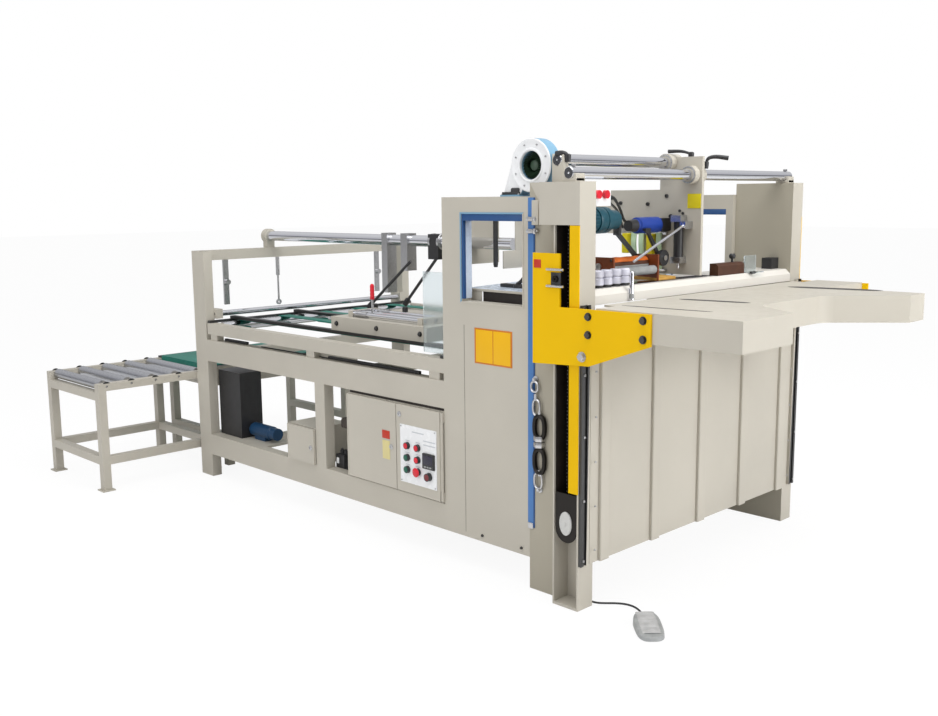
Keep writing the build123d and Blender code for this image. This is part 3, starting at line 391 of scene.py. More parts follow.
def dress_nodes() -> None:
    """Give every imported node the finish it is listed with, or beige paint."""
    for name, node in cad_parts.items():
        finish = ROLLER_GREY if name.startswith("stand_roller_") else NODE_FINISH.get(name, BEIGE)
        node.data.materials.clear()
        node.data.materials.append(finish.material())


# Surfaces

Places = Sequence[Point]
MIDDLE = 0.690                  # the machine's middle plane, along Y
MAIN = "machine"
EDGE_STEPS = 3                  # faces across a rounded edge


class Side(Enum):
    """The two long sides of the machine."""

    LEFT = 1
    RIGHT = -1

    def y(self, value: float) -> float:
        """A Y given for the left side, on this side."""
        return MIDDLE + self.value * (value - MIDDLE)


def unit(vector: Sequence[float]) -> np.ndarray:
    """The vector at length one."""
    vector = np.asarray(vector, float)
    return vector / np.linalg.norm(vector, axis=-1, keepdims=True)


def frame_of(axis: Sequence[float]) -> tuple[np.ndarray, np.ndarray, np.ndarray]:
    """An axis and two directions square to it, as a right-handed frame.

    Args:
        axis: A direction of any length.

    Returns:
        The axis and two directions square to it, all at length one.
    """
    along = unit(axis)
    first = unit(np.cross(along, (1, 0, 0) if abs(along[2]) > 0.8 else (0, 0, 1)))
    return along, first, np.cross(along, first)


def polar(angle: np.ndarray) -> np.ndarray:
    """Directions at those angles, in two dimensions."""
    return np.stack([np.cos(angle), np.sin(angle)], -1)


def squared(wave: np.ndarray, power: float) -> np.ndarray:
    """A sine or cosine made squarer, sign(w) |w|^p, for superellipses."""
    return np.sign(wave) * np.abs(wave) ** power


def circle(radius: float, steps: int = 12) -> np.ndarray:
    """Points of a circle in two dimensions."""
    angle = np.linspace(0, math.tau, steps, endpoint=False)
    return radius * polar(angle)


def xyz(x: np.ndarray | float, y: np.ndarray | float, z: np.ndarray | float) -> np.ndarray:
    """Points from three coordinates of matching shapes."""
    return np.stack(np.broadcast_arrays(x, y, z), -1).astype(float)


def curve_through(points: Places, steps: int = 8) -> np.ndarray:
    """A smooth line through points.

    Each span is a Catmull-Rom cubic, c(t) = (2 b + (c - a) t + (2a - 5b + 4c - d) t^2
    + (3b - a - 3c + d) t^3) / 2 for neighbours a, b, c, d.

    Args:
        points: Points that the line passes through.
        steps: Points of the line for each span.

    Returns:
        Points along the line.
    """
    path = np.asarray(points, float)
    path = np.concatenate([2 * path[:1] - path[1:2], path, 2 * path[-1:] - path[-2:-1]])
    t = np.linspace(0, 1, steps, endpoint=False)[None, :, None]
    a, b, c, d = (path[i:len(path) - 3 + i, None] for i in range(4))
    square, cube = 2 * a - 5 * b + 4 * c - d, 3 * b - a - 3 * c + d
    spans = (2 * b + (c - a) * t + square * t ** 2 + cube * t ** 3) / 2
    return np.concatenate([spans.reshape(-1, 3), path[-2:-1]])


class Form:
    """Gathers the surfaces of one piece and makes a mesh object of them."""

    def __init__(self, name: str, finish: Finish, body: str = MAIN, sharp: float = 32.0) -> None:
        """Start an empty piece.

        Args:
            name: Its name.
            finish: Its finish.
            body: The body it moves with.
            sharp: Edges steeper than this many degrees stay sharp.
        """
        self.name, self.finish, self.body, self.sharp = name, finish, body, sharp
        self.points: list[np.ndarray] = []
        self.faces: list[np.ndarray] = []
        self.total = 0

    def grid(self, points: np.ndarray, wrap_rows: bool = False, wrap_columns: bool = False) -> "Form":
        """Add surfaces given as grids of points.

        Args:
            points: Array (..., rows, columns, 3); leading axes hold separate surfaces.
            wrap_rows: The last row joins the first.
            wrap_columns: The last column joins the first.

        Returns:
            The piece.
        """
        rows, columns = points.shape[-3:-1]
        i, j = np.meshgrid(np.arange(rows - 1 + wrap_rows), np.arange(columns - 1 + wrap_columns),
                           indexing="ij")
        below, right = (i + 1) % rows, (j + 1) % columns
        quads = np.stack([i * columns + j, below * columns + j, below * columns + right,
                          i * columns + right], -1)
        sheets = points.reshape(-1, rows * columns, 3)
        shift = self.total + np.arange(len(sheets))[:, None, None] * rows * columns
        self.points.append(sheets.reshape(-1, 3))
        self.faces.append((quads.reshape(1, -1, 4) + shift).reshape(-1, 4))
        self.total += sheets.shape[0] * sheets.shape[1]
        return self

    def turn(self, origins: Places | Point, axis: Sequence[float], profile: Places,
             steps: int = 24) -> "Form":
        """Surface of revolution at one or more places.

        P(t, a) = o + x(t) k + r(t) (cos a e + sin a f), for profile points (x, r) and frame (k, e, f).

        Args:
            origins: Where the surfaces stand.
            axis: Their axis.
            profile: Points (x, r), along the axis and away from it.
            steps: Faces round the axis.

        Returns:
            The piece.
        """
        along, first, second = frame_of(axis)
        profile = np.asarray(profile, float)
        angle = np.linspace(0, math.tau, steps, endpoint=False)
        ring = np.cos(angle)[:, None] * first + np.sin(angle)[:, None] * second
        origins = np.atleast_2d(np.asarray(origins, float))[:, None, None]
        return self.grid(origins + profile[:, 0, None, None] * along + profile[:, 1, None, None] * ring,
                         wrap_columns=True)

    def sweep(self, path: np.ndarray, section: np.ndarray, reference: Point = (0.13, 0.21, 1)) -> "Form":
        """Section pushed along a path, closed at both ends.

        P(s, t) = c(s) + u(t) n(s) + v(t) b(s), with n the reference made square to the path and
        b = tangent x n.

        Args:
            path: Points of the path.
            section: Closed outline in two dimensions.
            reference: Direction that the section's first axis keeps to.

        Returns:
            The piece.
        """
        path, section = np.asarray(path, float), np.asarray(section, float)
        tangent = unit(np.gradient(path, axis=0))
        reference = np.asarray(reference, float)
        normal = unit(reference - (tangent @ reference)[:, None] * tangent)
        side = np.cross(tangent, normal)
        rings = path[:, None] + section[:, 0, None] * normal[:, None] + section[:, 1, None] * side[:, None]
        ends = np.broadcast_to(path[[0, -1], None], (2, len(section), 3))
        return self.grid(np.concatenate([ends[:1], rings, ends[1:]]), wrap_columns=True)

    def plate(self, origins: Places | Point, right: Sequence[float], up: Sequence[float],
              outline: np.ndarray, depth: float, bevel: float = 0.0) -> "Form":
        """Flat plate with a star-shaped outline, pushed along right x up by its depth.

        The outline shrinks by the bevel at both faces, towards the middle of the outline.

        Args:
            origins: Where the outline's zero point lies.
            right: Direction of the outline's first axis.
            up: Direction of its second axis.
            outline: Points in two dimensions, in order.
            depth: Its thickness.
            bevel: Width of the bevel.

        Returns:
            The piece.
        """
        right, up = np.asarray(right, float), np.asarray(up, float)
        out = np.cross(right, up)
        outline = np.asarray(outline, float)
        middle = outline.mean(axis=0)
        reach = np.linalg.norm(outline - middle, axis=1, keepdims=True)
        small = middle + (outline - middle) * (1 - bevel / reach)
        rows = [(np.broadcast_to(middle, outline.shape), 0), (small, 0), (outline, bevel),
                (outline, depth - bevel), (small, depth), (np.broadcast_to(middle, outline.shape), depth)]
        points = np.stack([row[:, :1] * right + row[:, 1:] * up + height * out for row, height in rows])
        return self.grid(np.atleast_2d(np.asarray(origins, float))[:, None, None] + points,
                         wrap_columns=True)

    def pad(self, centres: Places | Point, size: Sequence[float], radius: float) -> "Form":
        """Box with rounded edges.

        P = c + sign(n) (h - r) + r n, for unit directions n, half sizes h and edge radius r.

        Args:
            centres: Middles of the boxes.
            size: Their size along X, Y and Z.
            radius: Radius of their edges.

        Returns:
            The piece.
        """
        base = np.linspace(0, math.pi / 2, EDGE_STEPS + 1)
        turn = (np.arange(4)[:, None] * math.pi / 2 + base).ravel()
        turn_sign = np.repeat(np.arange(4) * math.pi / 2 + math.pi / 4, EDGE_STEPS + 1)
        rise = (np.array([-math.pi / 2, 0])[:, None] + base).ravel()
        rise_sign = np.repeat([-1.0, 1.0], EDGE_STEPS + 1)
        level = np.cos(rise)[:, None]
        normal = xyz(level * np.cos(turn), level * np.sin(turn), np.sin(rise)[:, None])
        sign = xyz(np.sign(np.cos(turn_sign))[None], np.sign(np.sin(turn_sign))[None], rise_sign[:, None])
        points = sign * (np.asarray(size, float) / 2 - radius) + radius * normal
        ends = np.array([[0, 0, -size[2] / 2], [0, 0, size[2] / 2]])[:, None, None]
        ends = ends.repeat(points.shape[1], 2)
        points = np.concatenate([ends[0], points, ends[1]])
        return self.grid(np.atleast_2d(np.asarray(centres, float))[:, None, None] + points,
                         wrap_columns=True)

    def slab(self, top: np.ndarray, bottom: np.ndarray) -> "Form":
        """Closed sheet between two matching grids of points.

        Args:
            top: Grid (rows, columns, 3) of its upper face.
            bottom: Grid of its lower face.

        Returns:
            The piece.
        """
        self.grid(top).grid(bottom[::-1])
        for edge in (0, -1):
            self.grid(np.stack([top[edge], bottom[edge]])).grid(np.stack([top[:, edge], bottom[:, edge]]))
        return self

    def both_sides(self) -> "Form":
        """Repeat all surfaces so far on the machine's other side, y' = 2 m - y.

        Returns:
            The piece.
        """
        for points, faces in list(zip(self.points, self.faces)):
            self.points.append(points * (1, -1, 1) + (0, 2 * MIDDLE, 0))
            self.faces.append(faces + self.total)
        self.total *= 2
        return self

    def build(self, replaces: Sequence[str] = ()) -> bpy.types.Object:
        """Make the mesh object.

        Args:
            replaces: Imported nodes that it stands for.

        Returns:
            The object, riding on its body.
        """
        points, faces = np.concatenate(self.points), np.concatenate(self.faces)
        mesh = bpy.data.meshes.new(self.name)
        mesh.vertices.add(len(points))
        mesh.vertices.foreach_set("co", points.astype(np.float32).ravel())
        mesh.loops.add(faces.size)
        mesh.loops.foreach_set("vertex_index", faces.astype(np.int32).ravel())
        mesh.polygons.add(len(faces))
        mesh.polygons.foreach_set("loop_start", np.arange(0, faces.size, 4, dtype=np.int32))
        mesh.update(calc_edges=True)
        work = bmesh.new()
        work.from_mesh(mesh)
        bmesh.ops.remove_doubles(work, verts=work.verts, dist=2e-6)
        bmesh.ops.recalc_face_normals(work, faces=work.faces)
        work.to_mesh(mesh)
        work.free()
        mesh.polygons.foreach_set("use_smooth", np.ones(len(mesh.polygons), dtype=bool))
        mesh.set_sharp_from_angle(angle=math.radians(self.sharp))
        mesh.materials.append(self.finish.material())
        piece = bpy.data.objects.new(self.name, mesh)
        bpy.context.scene.collection.objects.link(piece)
        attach(piece, self.body)
        if replaces:
            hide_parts(*replaces)
        log.info("%s: %d faces", self.name, len(mesh.polygons))
        return piece


def hex_bolts(name: str, places: Places, axis: Sequence[float], size: float, finish: Finish | None = None,
              body: str = MAIN) -> Form:
    """Hexagon bolt heads on washers.

    Args:
        name: Name of the piece.
        places: Where the washers touch the sheet.
        axis: The way the heads stand out.
        size: Width across flats.
        finish: Their finish, bright steel by default.
        body: The body they move with.

    Returns:
        The piece, not yet built.
    """
    form = Form(name, finish or BRIGHT_STEEL, body)
    corner, head = size / math.sqrt(3), 0.42 * size
    form.turn(places, axis, [(0, 0.72 * size), (0.1 * size, 0.72 * size), (0.1 * size, 0)], 16)
    lift = 0.1 * size
    form.turn(places, axis, [(lift, corner), (lift + head * 0.8, corner), (lift + head, corner * 0.86),
                             (lift + head, 0)], 6)
    return form


def socket_screws(name: str, places: Places, axis: Sequence[float], radius: float,
                  finish: Finish | None = None, body: str = MAIN) -> Form:
    """Round screw heads with a socket.

    Args:
        name: Name of the piece.
        places: Where the heads stand on the sheet.
        axis: The way the heads stand out.
        radius: Radius of a head.
        finish: Their finish, dark steel by default.
        body: The body they move with.

    Returns:
        The piece, not yet built.
    """
    form = Form(name, finish or DARK_STEEL, body)
    profile = [(0, 1), (0.7, 1), (0.9, 0.86), (0.9, 0.5), (0.3, 0.45), (0.3, 0)]
    form.turn(places, axis, [(radius * x, radius * r) for x, r in profile], 14)
    return form


# Sub-assemblies

FRONT_SHAFT = (-0.006, 1.478)   # axes of the cross shafts over the head, in X and Z
REAR_SHAFT = (-0.109, 1.524)


@dataclass(frozen=True)
class Patch:
    """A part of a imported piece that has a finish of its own: the faces whose middles lie in a box."""

    node: str
    finish: Finish
    low: Point
    high: Point

    def dress(self) -> None:
        """Point those faces at the patch's material."""
        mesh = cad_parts[self.node].data
        middles = np.empty(3 * len(mesh.polygons), dtype=np.float32)
        mesh.polygons.foreach_get("center", middles)
        middles = middles.reshape(-1, 3)
        inside = np.all((middles >= self.low) & (middles <= self.high), axis=1)
        index = np.empty(len(mesh.polygons), dtype=np.int32)
        mesh.polygons.foreach_get("material_index", index)
        index[inside] = len(mesh.materials)
        mesh.materials.append(self.finish.material())
        mesh.polygons.foreach_set("material_index", index)
        if not inside.any():
            log.warning("patch on %s holds no face", self.node)


FAR = 9.0
PATCHES = (
    # Painted shade: the two column patches below darken faces that turn away from the light.
    Patch("left_column", PAINTED_SHADE_BEIGE, (-0.22, 0.0125, 0.0), (-0.04, 0.0135, 1.20)),
    Patch("right_column", PAINTED_SHADE_BEIGE, (-0.22, 1.335, 0.0), (0.06, 1.3405, 1.46)),
    Patch("press_carriage", CHROME_ALONG, (-1.43, 0.19, 0.884), (-1.0, 0.34, 0.91)),
    Patch("press_carriage", BLACK_PLASTIC, (-1.53, 0.35, 0.885), (-1.25, 0.40, 0.93)),
    Patch("press_carriage", BRIGHT_STEEL, (-1.375, 0.24, 0.885), (-1.36, 0.26, 1.03)),
    Patch("gantry_bar", BRIGHT_STEEL, (-2.60, 0.10, 0.80), (-2.40, 1.30, 1.0995)),
    Patch("belt_drive", BLACK_PLASTIC, (-FAR, -FAR, 0), (FAR, FAR, FAR)),
    Patch("belt_drive", MOTOR_BLUE, (-0.152, 0.49, 1.262), (-0.088, 0.628, 1.326)),
    Patch("belt_drive", CHROME_ACROSS, (-0.079, 0.587, 1.161), (-0.05, 0.609, 1.183)),
    Patch("air_cylinder", BLACK_PLASTIC, (-0.066, 0.648, 1.174), (-0.028, 0.689, 1.304)),
    Patch("air_cylinder", CHROME_ACROSS, (-0.02, 0.33, 1.16), (0.0, 0.64, 1.30)),
    Patch("side_guide", BLACK_PLASTIC, (-0.01, 0.93, 1.1415), (0.04, 0.98, 1.20)),
    Patch("side_guide", BLACK_PLASTIC, (-0.06, 1.27, 1.08), (0.05, 1.36, 1.20)),
    Patch("stop_box", RED_CAP, (0.0205, 0.07, 1.39), (0.05, 0.15, 1.43)),
    Patch("glue_rollers", DARK_GLUE, (-0.13, 0.23, 1.08), (0.0, 0.2475, 1.20)),
    Patch("glue_rollers", DARK_GLUE, (-0.13, 0.4965, 1.08), (0.0, 0.52, 1.20)),
    Patch("glue_rollers", GREY_CAST, (-0.06, 0.2476, 1.11), (0.0, 0.4964, 1.155)),
    Patch("suction_bellows", BLACK_RUBBER, (-0.05, 0.05, 1.09), (0.05, 0.30, 1.1055)),
    Patch("drive_motor", DRIVE_BLUE, (-2.198, 0.0, 0.2205), (-1.90, 0.3, 0.31)),
    Patch("drive_motor", BEIGE, (-2.42, 0.0, 0.19), (-1.90, 0.3, 0.2202)),
    Patch("guide_rails", BEIGE, (0.05, -0.0025, 0.0), (0.08, 0.03, 1.2)),
    Patch("guide_rails", BEIGE, (0.05, 1.35, 0.0), (0.08, 1.3825, 1.2)),
    Patch("window_trims", BEIGE, (-0.556, 0.0, 1.00), (-0.235, 0.0135, 1.0225)),
    Patch("window_trims", BEIGE, (-0.2445, 0.0, 1.00), (-0.232, 0.0135, 1.36)),
    Patch("guide_brackets", BRONZE, (-0.967, 0.40, 1.15), (-0.9455, 0.52, 1.27)),
    Patch("press_levers", BLACK_PLASTIC, (-1.20, 0.42, 1.13), (-1.11, 0.50, 1.25)),
    Patch("press_levers", BLACK_PLASTIC, (-1.62, 0.40, 0.885), (-1.55, 0.46, 0.96)),
    Patch("press_levers", BLACK_PLASTIC, (-1.36, 0.40, 0.92), (-1.30, 0.46, 1.0)),
    Patch("folding_motor", BRIGHT_STEEL, (-0.18, 0.039, 1.25), (-0.05, 0.0545, 1.40)),
    Patch("blower", PANEL_WHITE, (-0.34, 0.0425, 1.405), (-0.13, 0.0455, 1.62)),
    Patch("outfeed_conveyor", BLACK_PLASTIC, (-3.2, 0.1, 0.441), (-2.53, 1.0, 0.66)),
    Patch("control_panel", BLACK_PLASTIC, (-0.87, -0.03, 0.30), (-0.695, -0.0045, 0.445)),
)


@dataclass
class LiftChains:
    """Roller chains that carry the feed table, one loop in each column, on toothed wheels.

    The loop has two straight runs and two half circles. With n pins and t teeth, the pins are
    evenly spaced by p = 2 d / (n - t) and the wheels' radius is t p / (2 pi), so pins and teeth meet.
    """

    low_wheel: float = 0.315
    high_wheel: float = 1.370
    middle_y: float = 0.015
    pins: int = 182
    teeth: int = 17
    plate_height: float = 0.0054
    roller: float = 0.0042
    hub_half: tuple[float, float] = (0.0265, 0.0415)
    hub_drop: float = -0.015
    guard_y: float = -0.0365
    guard_half: float = 0.047
    shade_heights: tuple[float, float] = (0.300, 1.395)
    link_faces: tuple[float, float] = (0.0032, 0.0049)
    link_thickness: float = 0.0014

    @property
    def pitch(self) -> float:
        """Distance from pin to pin along the loop."""
        return 2 * (self.high_wheel - self.low_wheel) / (self.pins - self.teeth)

    @property
    def radius(self) -> float:
        """Pitch radius of the wheels."""
        return self.teeth * self.pitch / math.tau

    def loop(self, length: np.ndarray) -> np.ndarray:
        """Point of the loop in X and Z at a length along it, from the low wheel's +X side upwards.

        Args:
            length: Distances along the loop.

        Returns:
            Points in X and Z.
        """
        rise, radius = self.high_wheel - self.low_wheel, self.radius
        half = math.pi * radius
        length = length % (2 * (rise + half))
        runs = [length < rise, length < rise + half, length < 2 * rise + half]
        over, under = (length - rise) / radius, math.pi + (length - 2 * rise - half) / radius
        x = np.select(runs,
                      [np.full_like(length, radius), radius * np.cos(over), np.full_like(length, -radius)],
                      radius * np.cos(under))
        z = np.select(runs, [length, rise + radius * np.sin(over), 2 * rise + half - length],
                      radius * np.sin(under))
        return np.stack([x, z + self.low_wheel], -1)

    def link_outline(self) -> np.ndarray:
        """Waisted link plate about the middle of its two pins.

        Returns:
            Points along and across the link, in metres.
        """
        angle = np.radians([-75, -40, 0, 40, 75])
        end = (self.pitch / 2, 0) + self.plate_height * polar(angle)
        waist = np.array([[0, 0.68 * self.plate_height]])
        return np.concatenate([end, waist, -end, -waist])

    def chain(self) -> None:
        """Link plates, rollers and pin heads of both loops.

        A link's points are m + u e + v f + y k, with m the middle of its pins, e the way between
        them, f square to it in the loop's plane and k along Y; every other link lies further out.
        """
        place = self.loop(np.arange(self.pins + 1) * self.pitch)
        middle, way = (place[1:] + place[:-1]) / 2, place[1:] - place[:-1]
        way = way / np.linalg.norm(way, axis=1, keepdims=True)
        side = np.stack([-way[:, 1], way[:, 0]], -1)
        outline = self.link_outline()
        flat = (middle[:, None] + outline[:, :1] * way[:, None] + outline[:, 1:] * side[:, None])
        centre = np.broadcast_to(middle[:, None], flat.shape)
        plates = Form("lift_chain_plates", CHAIN_STEEL, sharp=40)
        outer = (np.arange(self.pins) % 2)[:, None]
        for sign in (-1, 1):
            inner_face = np.where(outer == 1, self.link_faces[1], self.link_faces[0])
            rings = [np.concatenate([flat_ring[..., :1], np.broadcast_to(
                (self.middle_y + sign * (inner_face + lift))[..., None], (*flat_ring.shape[:-1], 1)),
                                     flat_ring[..., 1:]], -1)
                     for flat_ring, lift in ((centre, 0.0), (flat, 0.0), (flat, self.link_thickness),
                                             (centre, self.link_thickness))]
            plates.grid(np.stack(rings, axis=1), wrap_columns=True)
        plates.both_sides().build(replaces=("lift_chains",))
        pins = np.stack([place[:-1, 0], np.full(self.pins, self.middle_y), place[:-1, 1]], -1)
        rollers = Form("lift_chain_rollers", BRIGHT_STEEL)
        rollers.turn(pins, (0, 1, 0), [(-0.0031, 0.0021), (-0.0031, self.roller), (0.0031, self.roller),
                                       (0.0031, 0.0021)], 9)
        rollers.turn(pins, (0, 1, 0), [(-0.0069, 0), (-0.0069, 0.0015), (-0.0064, 0.0021), (0.0064, 0.0021),
                                       (0.0069, 0.0015), (0.0069, 0)], 7)
        rollers.both_sides().build()

    def wheels(self) -> None:
        """Toothed wheels with round seats, r = root + (tip - root) sin(t a / 2)^2, and turned hubs."""
        for name, height, phase in (("low", self.low_wheel, 0.0),
                                    ("high", self.high_wheel, math.pi / self.teeth)):
            angle = np.linspace(0, math.tau, self.teeth * 8, endpoint=False)
            tooth = np.sin(self.teeth * (angle - phase) / 2) ** 2
            reach = self.radius - self.roller + 0.0078 * tooth ** 0.8
            outline = reach[:, None] * polar(angle)
            wheel = Form(f"{name}_chain_wheels", CHAIN_STEEL)
            wheel.plate((0, self.middle_y + 0.0025, height), (1, 0, 0), (0, 0, 1), outline, 0.005, 0.0008)
            wheel.turn((0, 0, height), (0, 1, 0), [(0.019, 0), (0.019, 0.010), (0.034, 0.010), (0.034, 0)])
            wheel.both_sides().build(replaces=("chain_wheels",) if name == "low" else ())

    def hubs(self) -> None:
        """Oval covers on the low wheels' shafts, dark plates at the slots' feet, painted shade in the slots.

        The cover's outline is an oval; its height over the plate is a flat dome with a raised ring.
        """
        share = np.array([0, 0.12, 0.20, 0.24, 0.62, 0.68, 0.90, 1.0, 1.0])
        rise = np.array([0.0072, 0.0072, 0.0068, 0.0050, 0.0050, 0.0062, 0.0056, 0.0035, 0.0])
        angle = np.linspace(0, math.tau, 48, endpoint=False)
        x = self.hub_half[0] * share[:, None] * np.cos(angle)
        z = self.low_wheel + self.hub_drop + self.hub_half[1] * share[:, None] * np.sin(angle)
        covers = Form("low_wheel_hubs", PALE_HUB, sharp=28)
        covers.grid(xyz(x, self.guard_y - rise[:, None], z), wrap_columns=True)
        covers.both_sides().build()
        outline = self.guard_half * polar(angle)
        outline[:, 1] = np.where(outline[:, 1] < 0, outline[:, 1] * 1.05, 0.125)
        outline[:, 0] = np.where(outline[:, 1] > 0, np.sign(outline[:, 0] + 1e-9) * self.guard_half,
                                 outline[:, 0])
        plates = Form("slot_foot_plates", CHAIN_STEEL)
        plates.plate((0, self.guard_y + 0.004, self.low_wheel - 0.035), (1, 0, 0), (0, 0, 1), outline, 0.004,
                     0.001)
        plates.both_sides().build()
        # Painted shade: near-black sheets on the slot's walls and back stand for the shade inside the
        # channel.
        shade_sheets = Form("slot_painted_shade_sheets", PAINTED_SHADE_DARK)
        low, high = self.shade_heights
        shade_sheets.pad([(-0.0485, 0.0, (low + high) / 2)], (0.0012, 0.066, high - low), 0.0004)
        shade_sheets.pad([(0.0485, 0.004, (low + high) / 2)], (0.0012, 0.058, high - low), 0.0004)
        shade_sheets.pad([(0.0, 0.0332, (low + high) / 2)], (0.094, 0.0012, high - low), 0.0004)
        shade_sheets.both_sides().build()

    def build(self) -> None:
        """Make chains, wheels, hubs and the painted shade in the slots."""
        self.chain()
        self.wheels()
        self.hubs()


@dataclass
class LiftCarriages:
    """What is bolted to the left yellow carriage; the right one shows its plain outer face."""

    outer_y: float = -0.058
    body: str = "lift_table"

    def build(self) -> None:
        """Table bolts, clevis with its two pins, a bare red plate and a bolt at the corner."""
        y = self.outer_y
        dark = [(0.106, y, 1.019), (0.106, y, 0.960), (0.321, y, 1.023), (0.322, y, 0.964)]
        hex_bolts("carriage_table_bolts", dark, (0, -1, 0), 0.019, DARK_STEEL, self.body).build()
        bright = hex_bolts("carriage_corner_bolts", [(0.082, y, 0.886)], (0, -1, 0), 0.024, BRIGHT_STEEL,
                           self.body)
        bright.build()
        slot = Form("carriage_clevis_slots", BLACK_PLASTIC, self.body)
        slot.pad((-0.030, y - 0.0004, 1.1345), (0.043, 0.003, 0.043), 0.0012)
        slot.build()
        ring = Form("carriage_chain_nuts", CHAIN_STEEL, self.body)
        ring.turn((-0.030, y, 1.1345), (0, -1, 0),
                  [(0.001, 0.0), (0.009, 0.006), (0.009, 0.012), (0.001, 0.0135)], 6)
        ring.build()
        pins = Form("carriage_clevis_pins", BRIGHT_STEEL, self.body)
        for height in (1.165, 1.110):
            pins.turn((-0.069, y - 0.0035, height), (1, 0, 0),
                      [(0, 0), (0, 0.0035), (0.001, 0.0045), (0.072, 0.0045), (0.073, 0.0035), (0.073, 0)],
                      14)
        pins.build()
        sign = Form("carriage_bare_plates", RED_PLATE, self.body)
        sign.pad((-0.1115, y - 0.0005, 1.182), (0.031, 0.0016, 0.028), 0.0005)
        sign.build()


@dataclass
class ColumnFittings:
    """Trims, studs and the lifting gear on the outer faces of both posts."""

    face_y: float = 0.013
    strip: tuple[float, float] = (-0.215, -0.193)
    gear_x: float = -0.155
    squareness: float = 0.8
    ring_wire: float = 0.0045

    def hoop(self, form: Form, x0: float, height: float, wide: float, tall: float, thick: float,
             y: float) -> None:
        """Closed ring of round wire, P(s, t) = c + (w + r cos t) superellipse(s) with r sin t along Y.

        Args:
            form: The piece that it joins.
            x0: Its middle along X.
            height: Its middle along Z.
            wide: Half its width.
            tall: Half its height.
            thick: Radius of the wire.
            y: Its middle along Y.
        """
        s = np.linspace(0, math.tau, 28, endpoint=False)[:, None]
        t = np.linspace(0, math.tau, 8, endpoint=False)[None, :]
        x = squared(np.cos(s), self.squareness) * (wide + thick * np.cos(t))
        z = squared(np.sin(s), self.squareness) * (tall + thick * np.cos(t))
        form.grid(xyz(x0 + x, y + thick * np.sin(t), height + z), wrap_rows=True, wrap_columns=True)

    def build(self) -> None:
        """Make trims, studs, blocks and the lifting gear of each side."""
        strip = Form("post_edge_trims", TRIM_BLUE)
        strip.pad((sum(self.strip) / 2, self.face_y - 0.0012, 0.815), (0.026, 0.0034, 1.17), 0.0012)
        strip.both_sides().build()
        # Painted shadow: a darker blue strip along the blue trim's edge.
        dark = Form("post_edge_painted_shades", PAINTED_SHADE_BLUE)
        dark.pad((self.strip[1] + 0.0035, self.face_y - 0.0010, 0.815), (0.009, 0.0030, 1.17), 0.0010)
        dark.both_sides().build()
        foot = Form("trim_end_clips", BRIGHT_STEEL)
        foot.pad((-0.204, self.face_y - 0.002, 0.236), (0.024, 0.006, 0.022), 0.0015)
        foot.both_sides().build()
        studs = Form("post_studs", BRIGHT_STEEL)
        for height in (1.327, 1.286):
            studs.turn((-0.214, self.face_y - 0.010, height), (1, 0, 0),
                       [(0, 0), (0, 0.006), (0.002, 0.008), (0.030, 0.008), (0.030, 0.0055), (0.047, 0.0055),
                        (0.049, 0.004), (0.049, 0)], 16)
            studs.turn((-0.180, self.face_y - 0.010, height), (1, 0, 0),
                       [(0, 0.0055), (0, 0.0105), (0.009, 0.0105), (0.009, 0.0055)], 6)
        studs.pad([(-0.200, self.face_y - 0.0035, 1.327), (-0.200, self.face_y - 0.0035, 1.286)],
                  (0.014, 0.0075, 0.014), 0.001)
        studs.both_sides().build()
        block = Form("post_blocks", BEIGE)
        block.pad((-0.175, self.face_y - 0.007, 1.349), (0.030, 0.015, 0.084), 0.002)
        block.both_sides().build()
        eyes = Form("lifting_rings", BRIGHT_STEEL)
        y = self.face_y - 0.0105
        for x, height, wide, tall in ((-0.178, 0.747, 0.016, 0.018), (-0.169, 0.674, 0.016, 0.028),
                                      (-0.160, 0.412, 0.018, 0.028)):
            self.hoop(eyes, x, height, wide, tall, self.ring_wire, y)
        eyes.turn([(-0.180, self.face_y, 0.772), (-0.160, self.face_y, 0.378)], (0, -1, 0),
                  [(-0.001, 0), (-0.001, 0.012), (0.003, 0.012), (0.003, 0.0060), (0.015, 0.0060),
                   (0.016, 0.0050), (0.016, 0)], 14)
        eyes.turn([(self.gear_x, y, 0.534), (self.gear_x, y, 0.556)], (0, 0, 1),
                  [(0, 0.005), (0, 0.0200), (0.003, 0.0215), (0.015, 0.0215), (0.018, 0.0200),
                   (0.018, 0.005)], 6)
        eyes.turn([(self.gear_x, y, 0.640), (self.gear_x, y, 0.430), (-0.174, y, 0.700)], (0, 0, 1),
                  [(0, 0), (0, 0.0055), (0.022, 0.0055), (0.022, 0)], 10)
        eyes.both_sides().build()
        body = Form("lifting_buckles", CHAIN_STEEL)
        for height, tall in ((0.605, 0.040), (0.484, 0.042)):
            self.hoop(body, self.gear_x, height, 0.023, tall, 0.0085, y)
        body.both_sides().build()


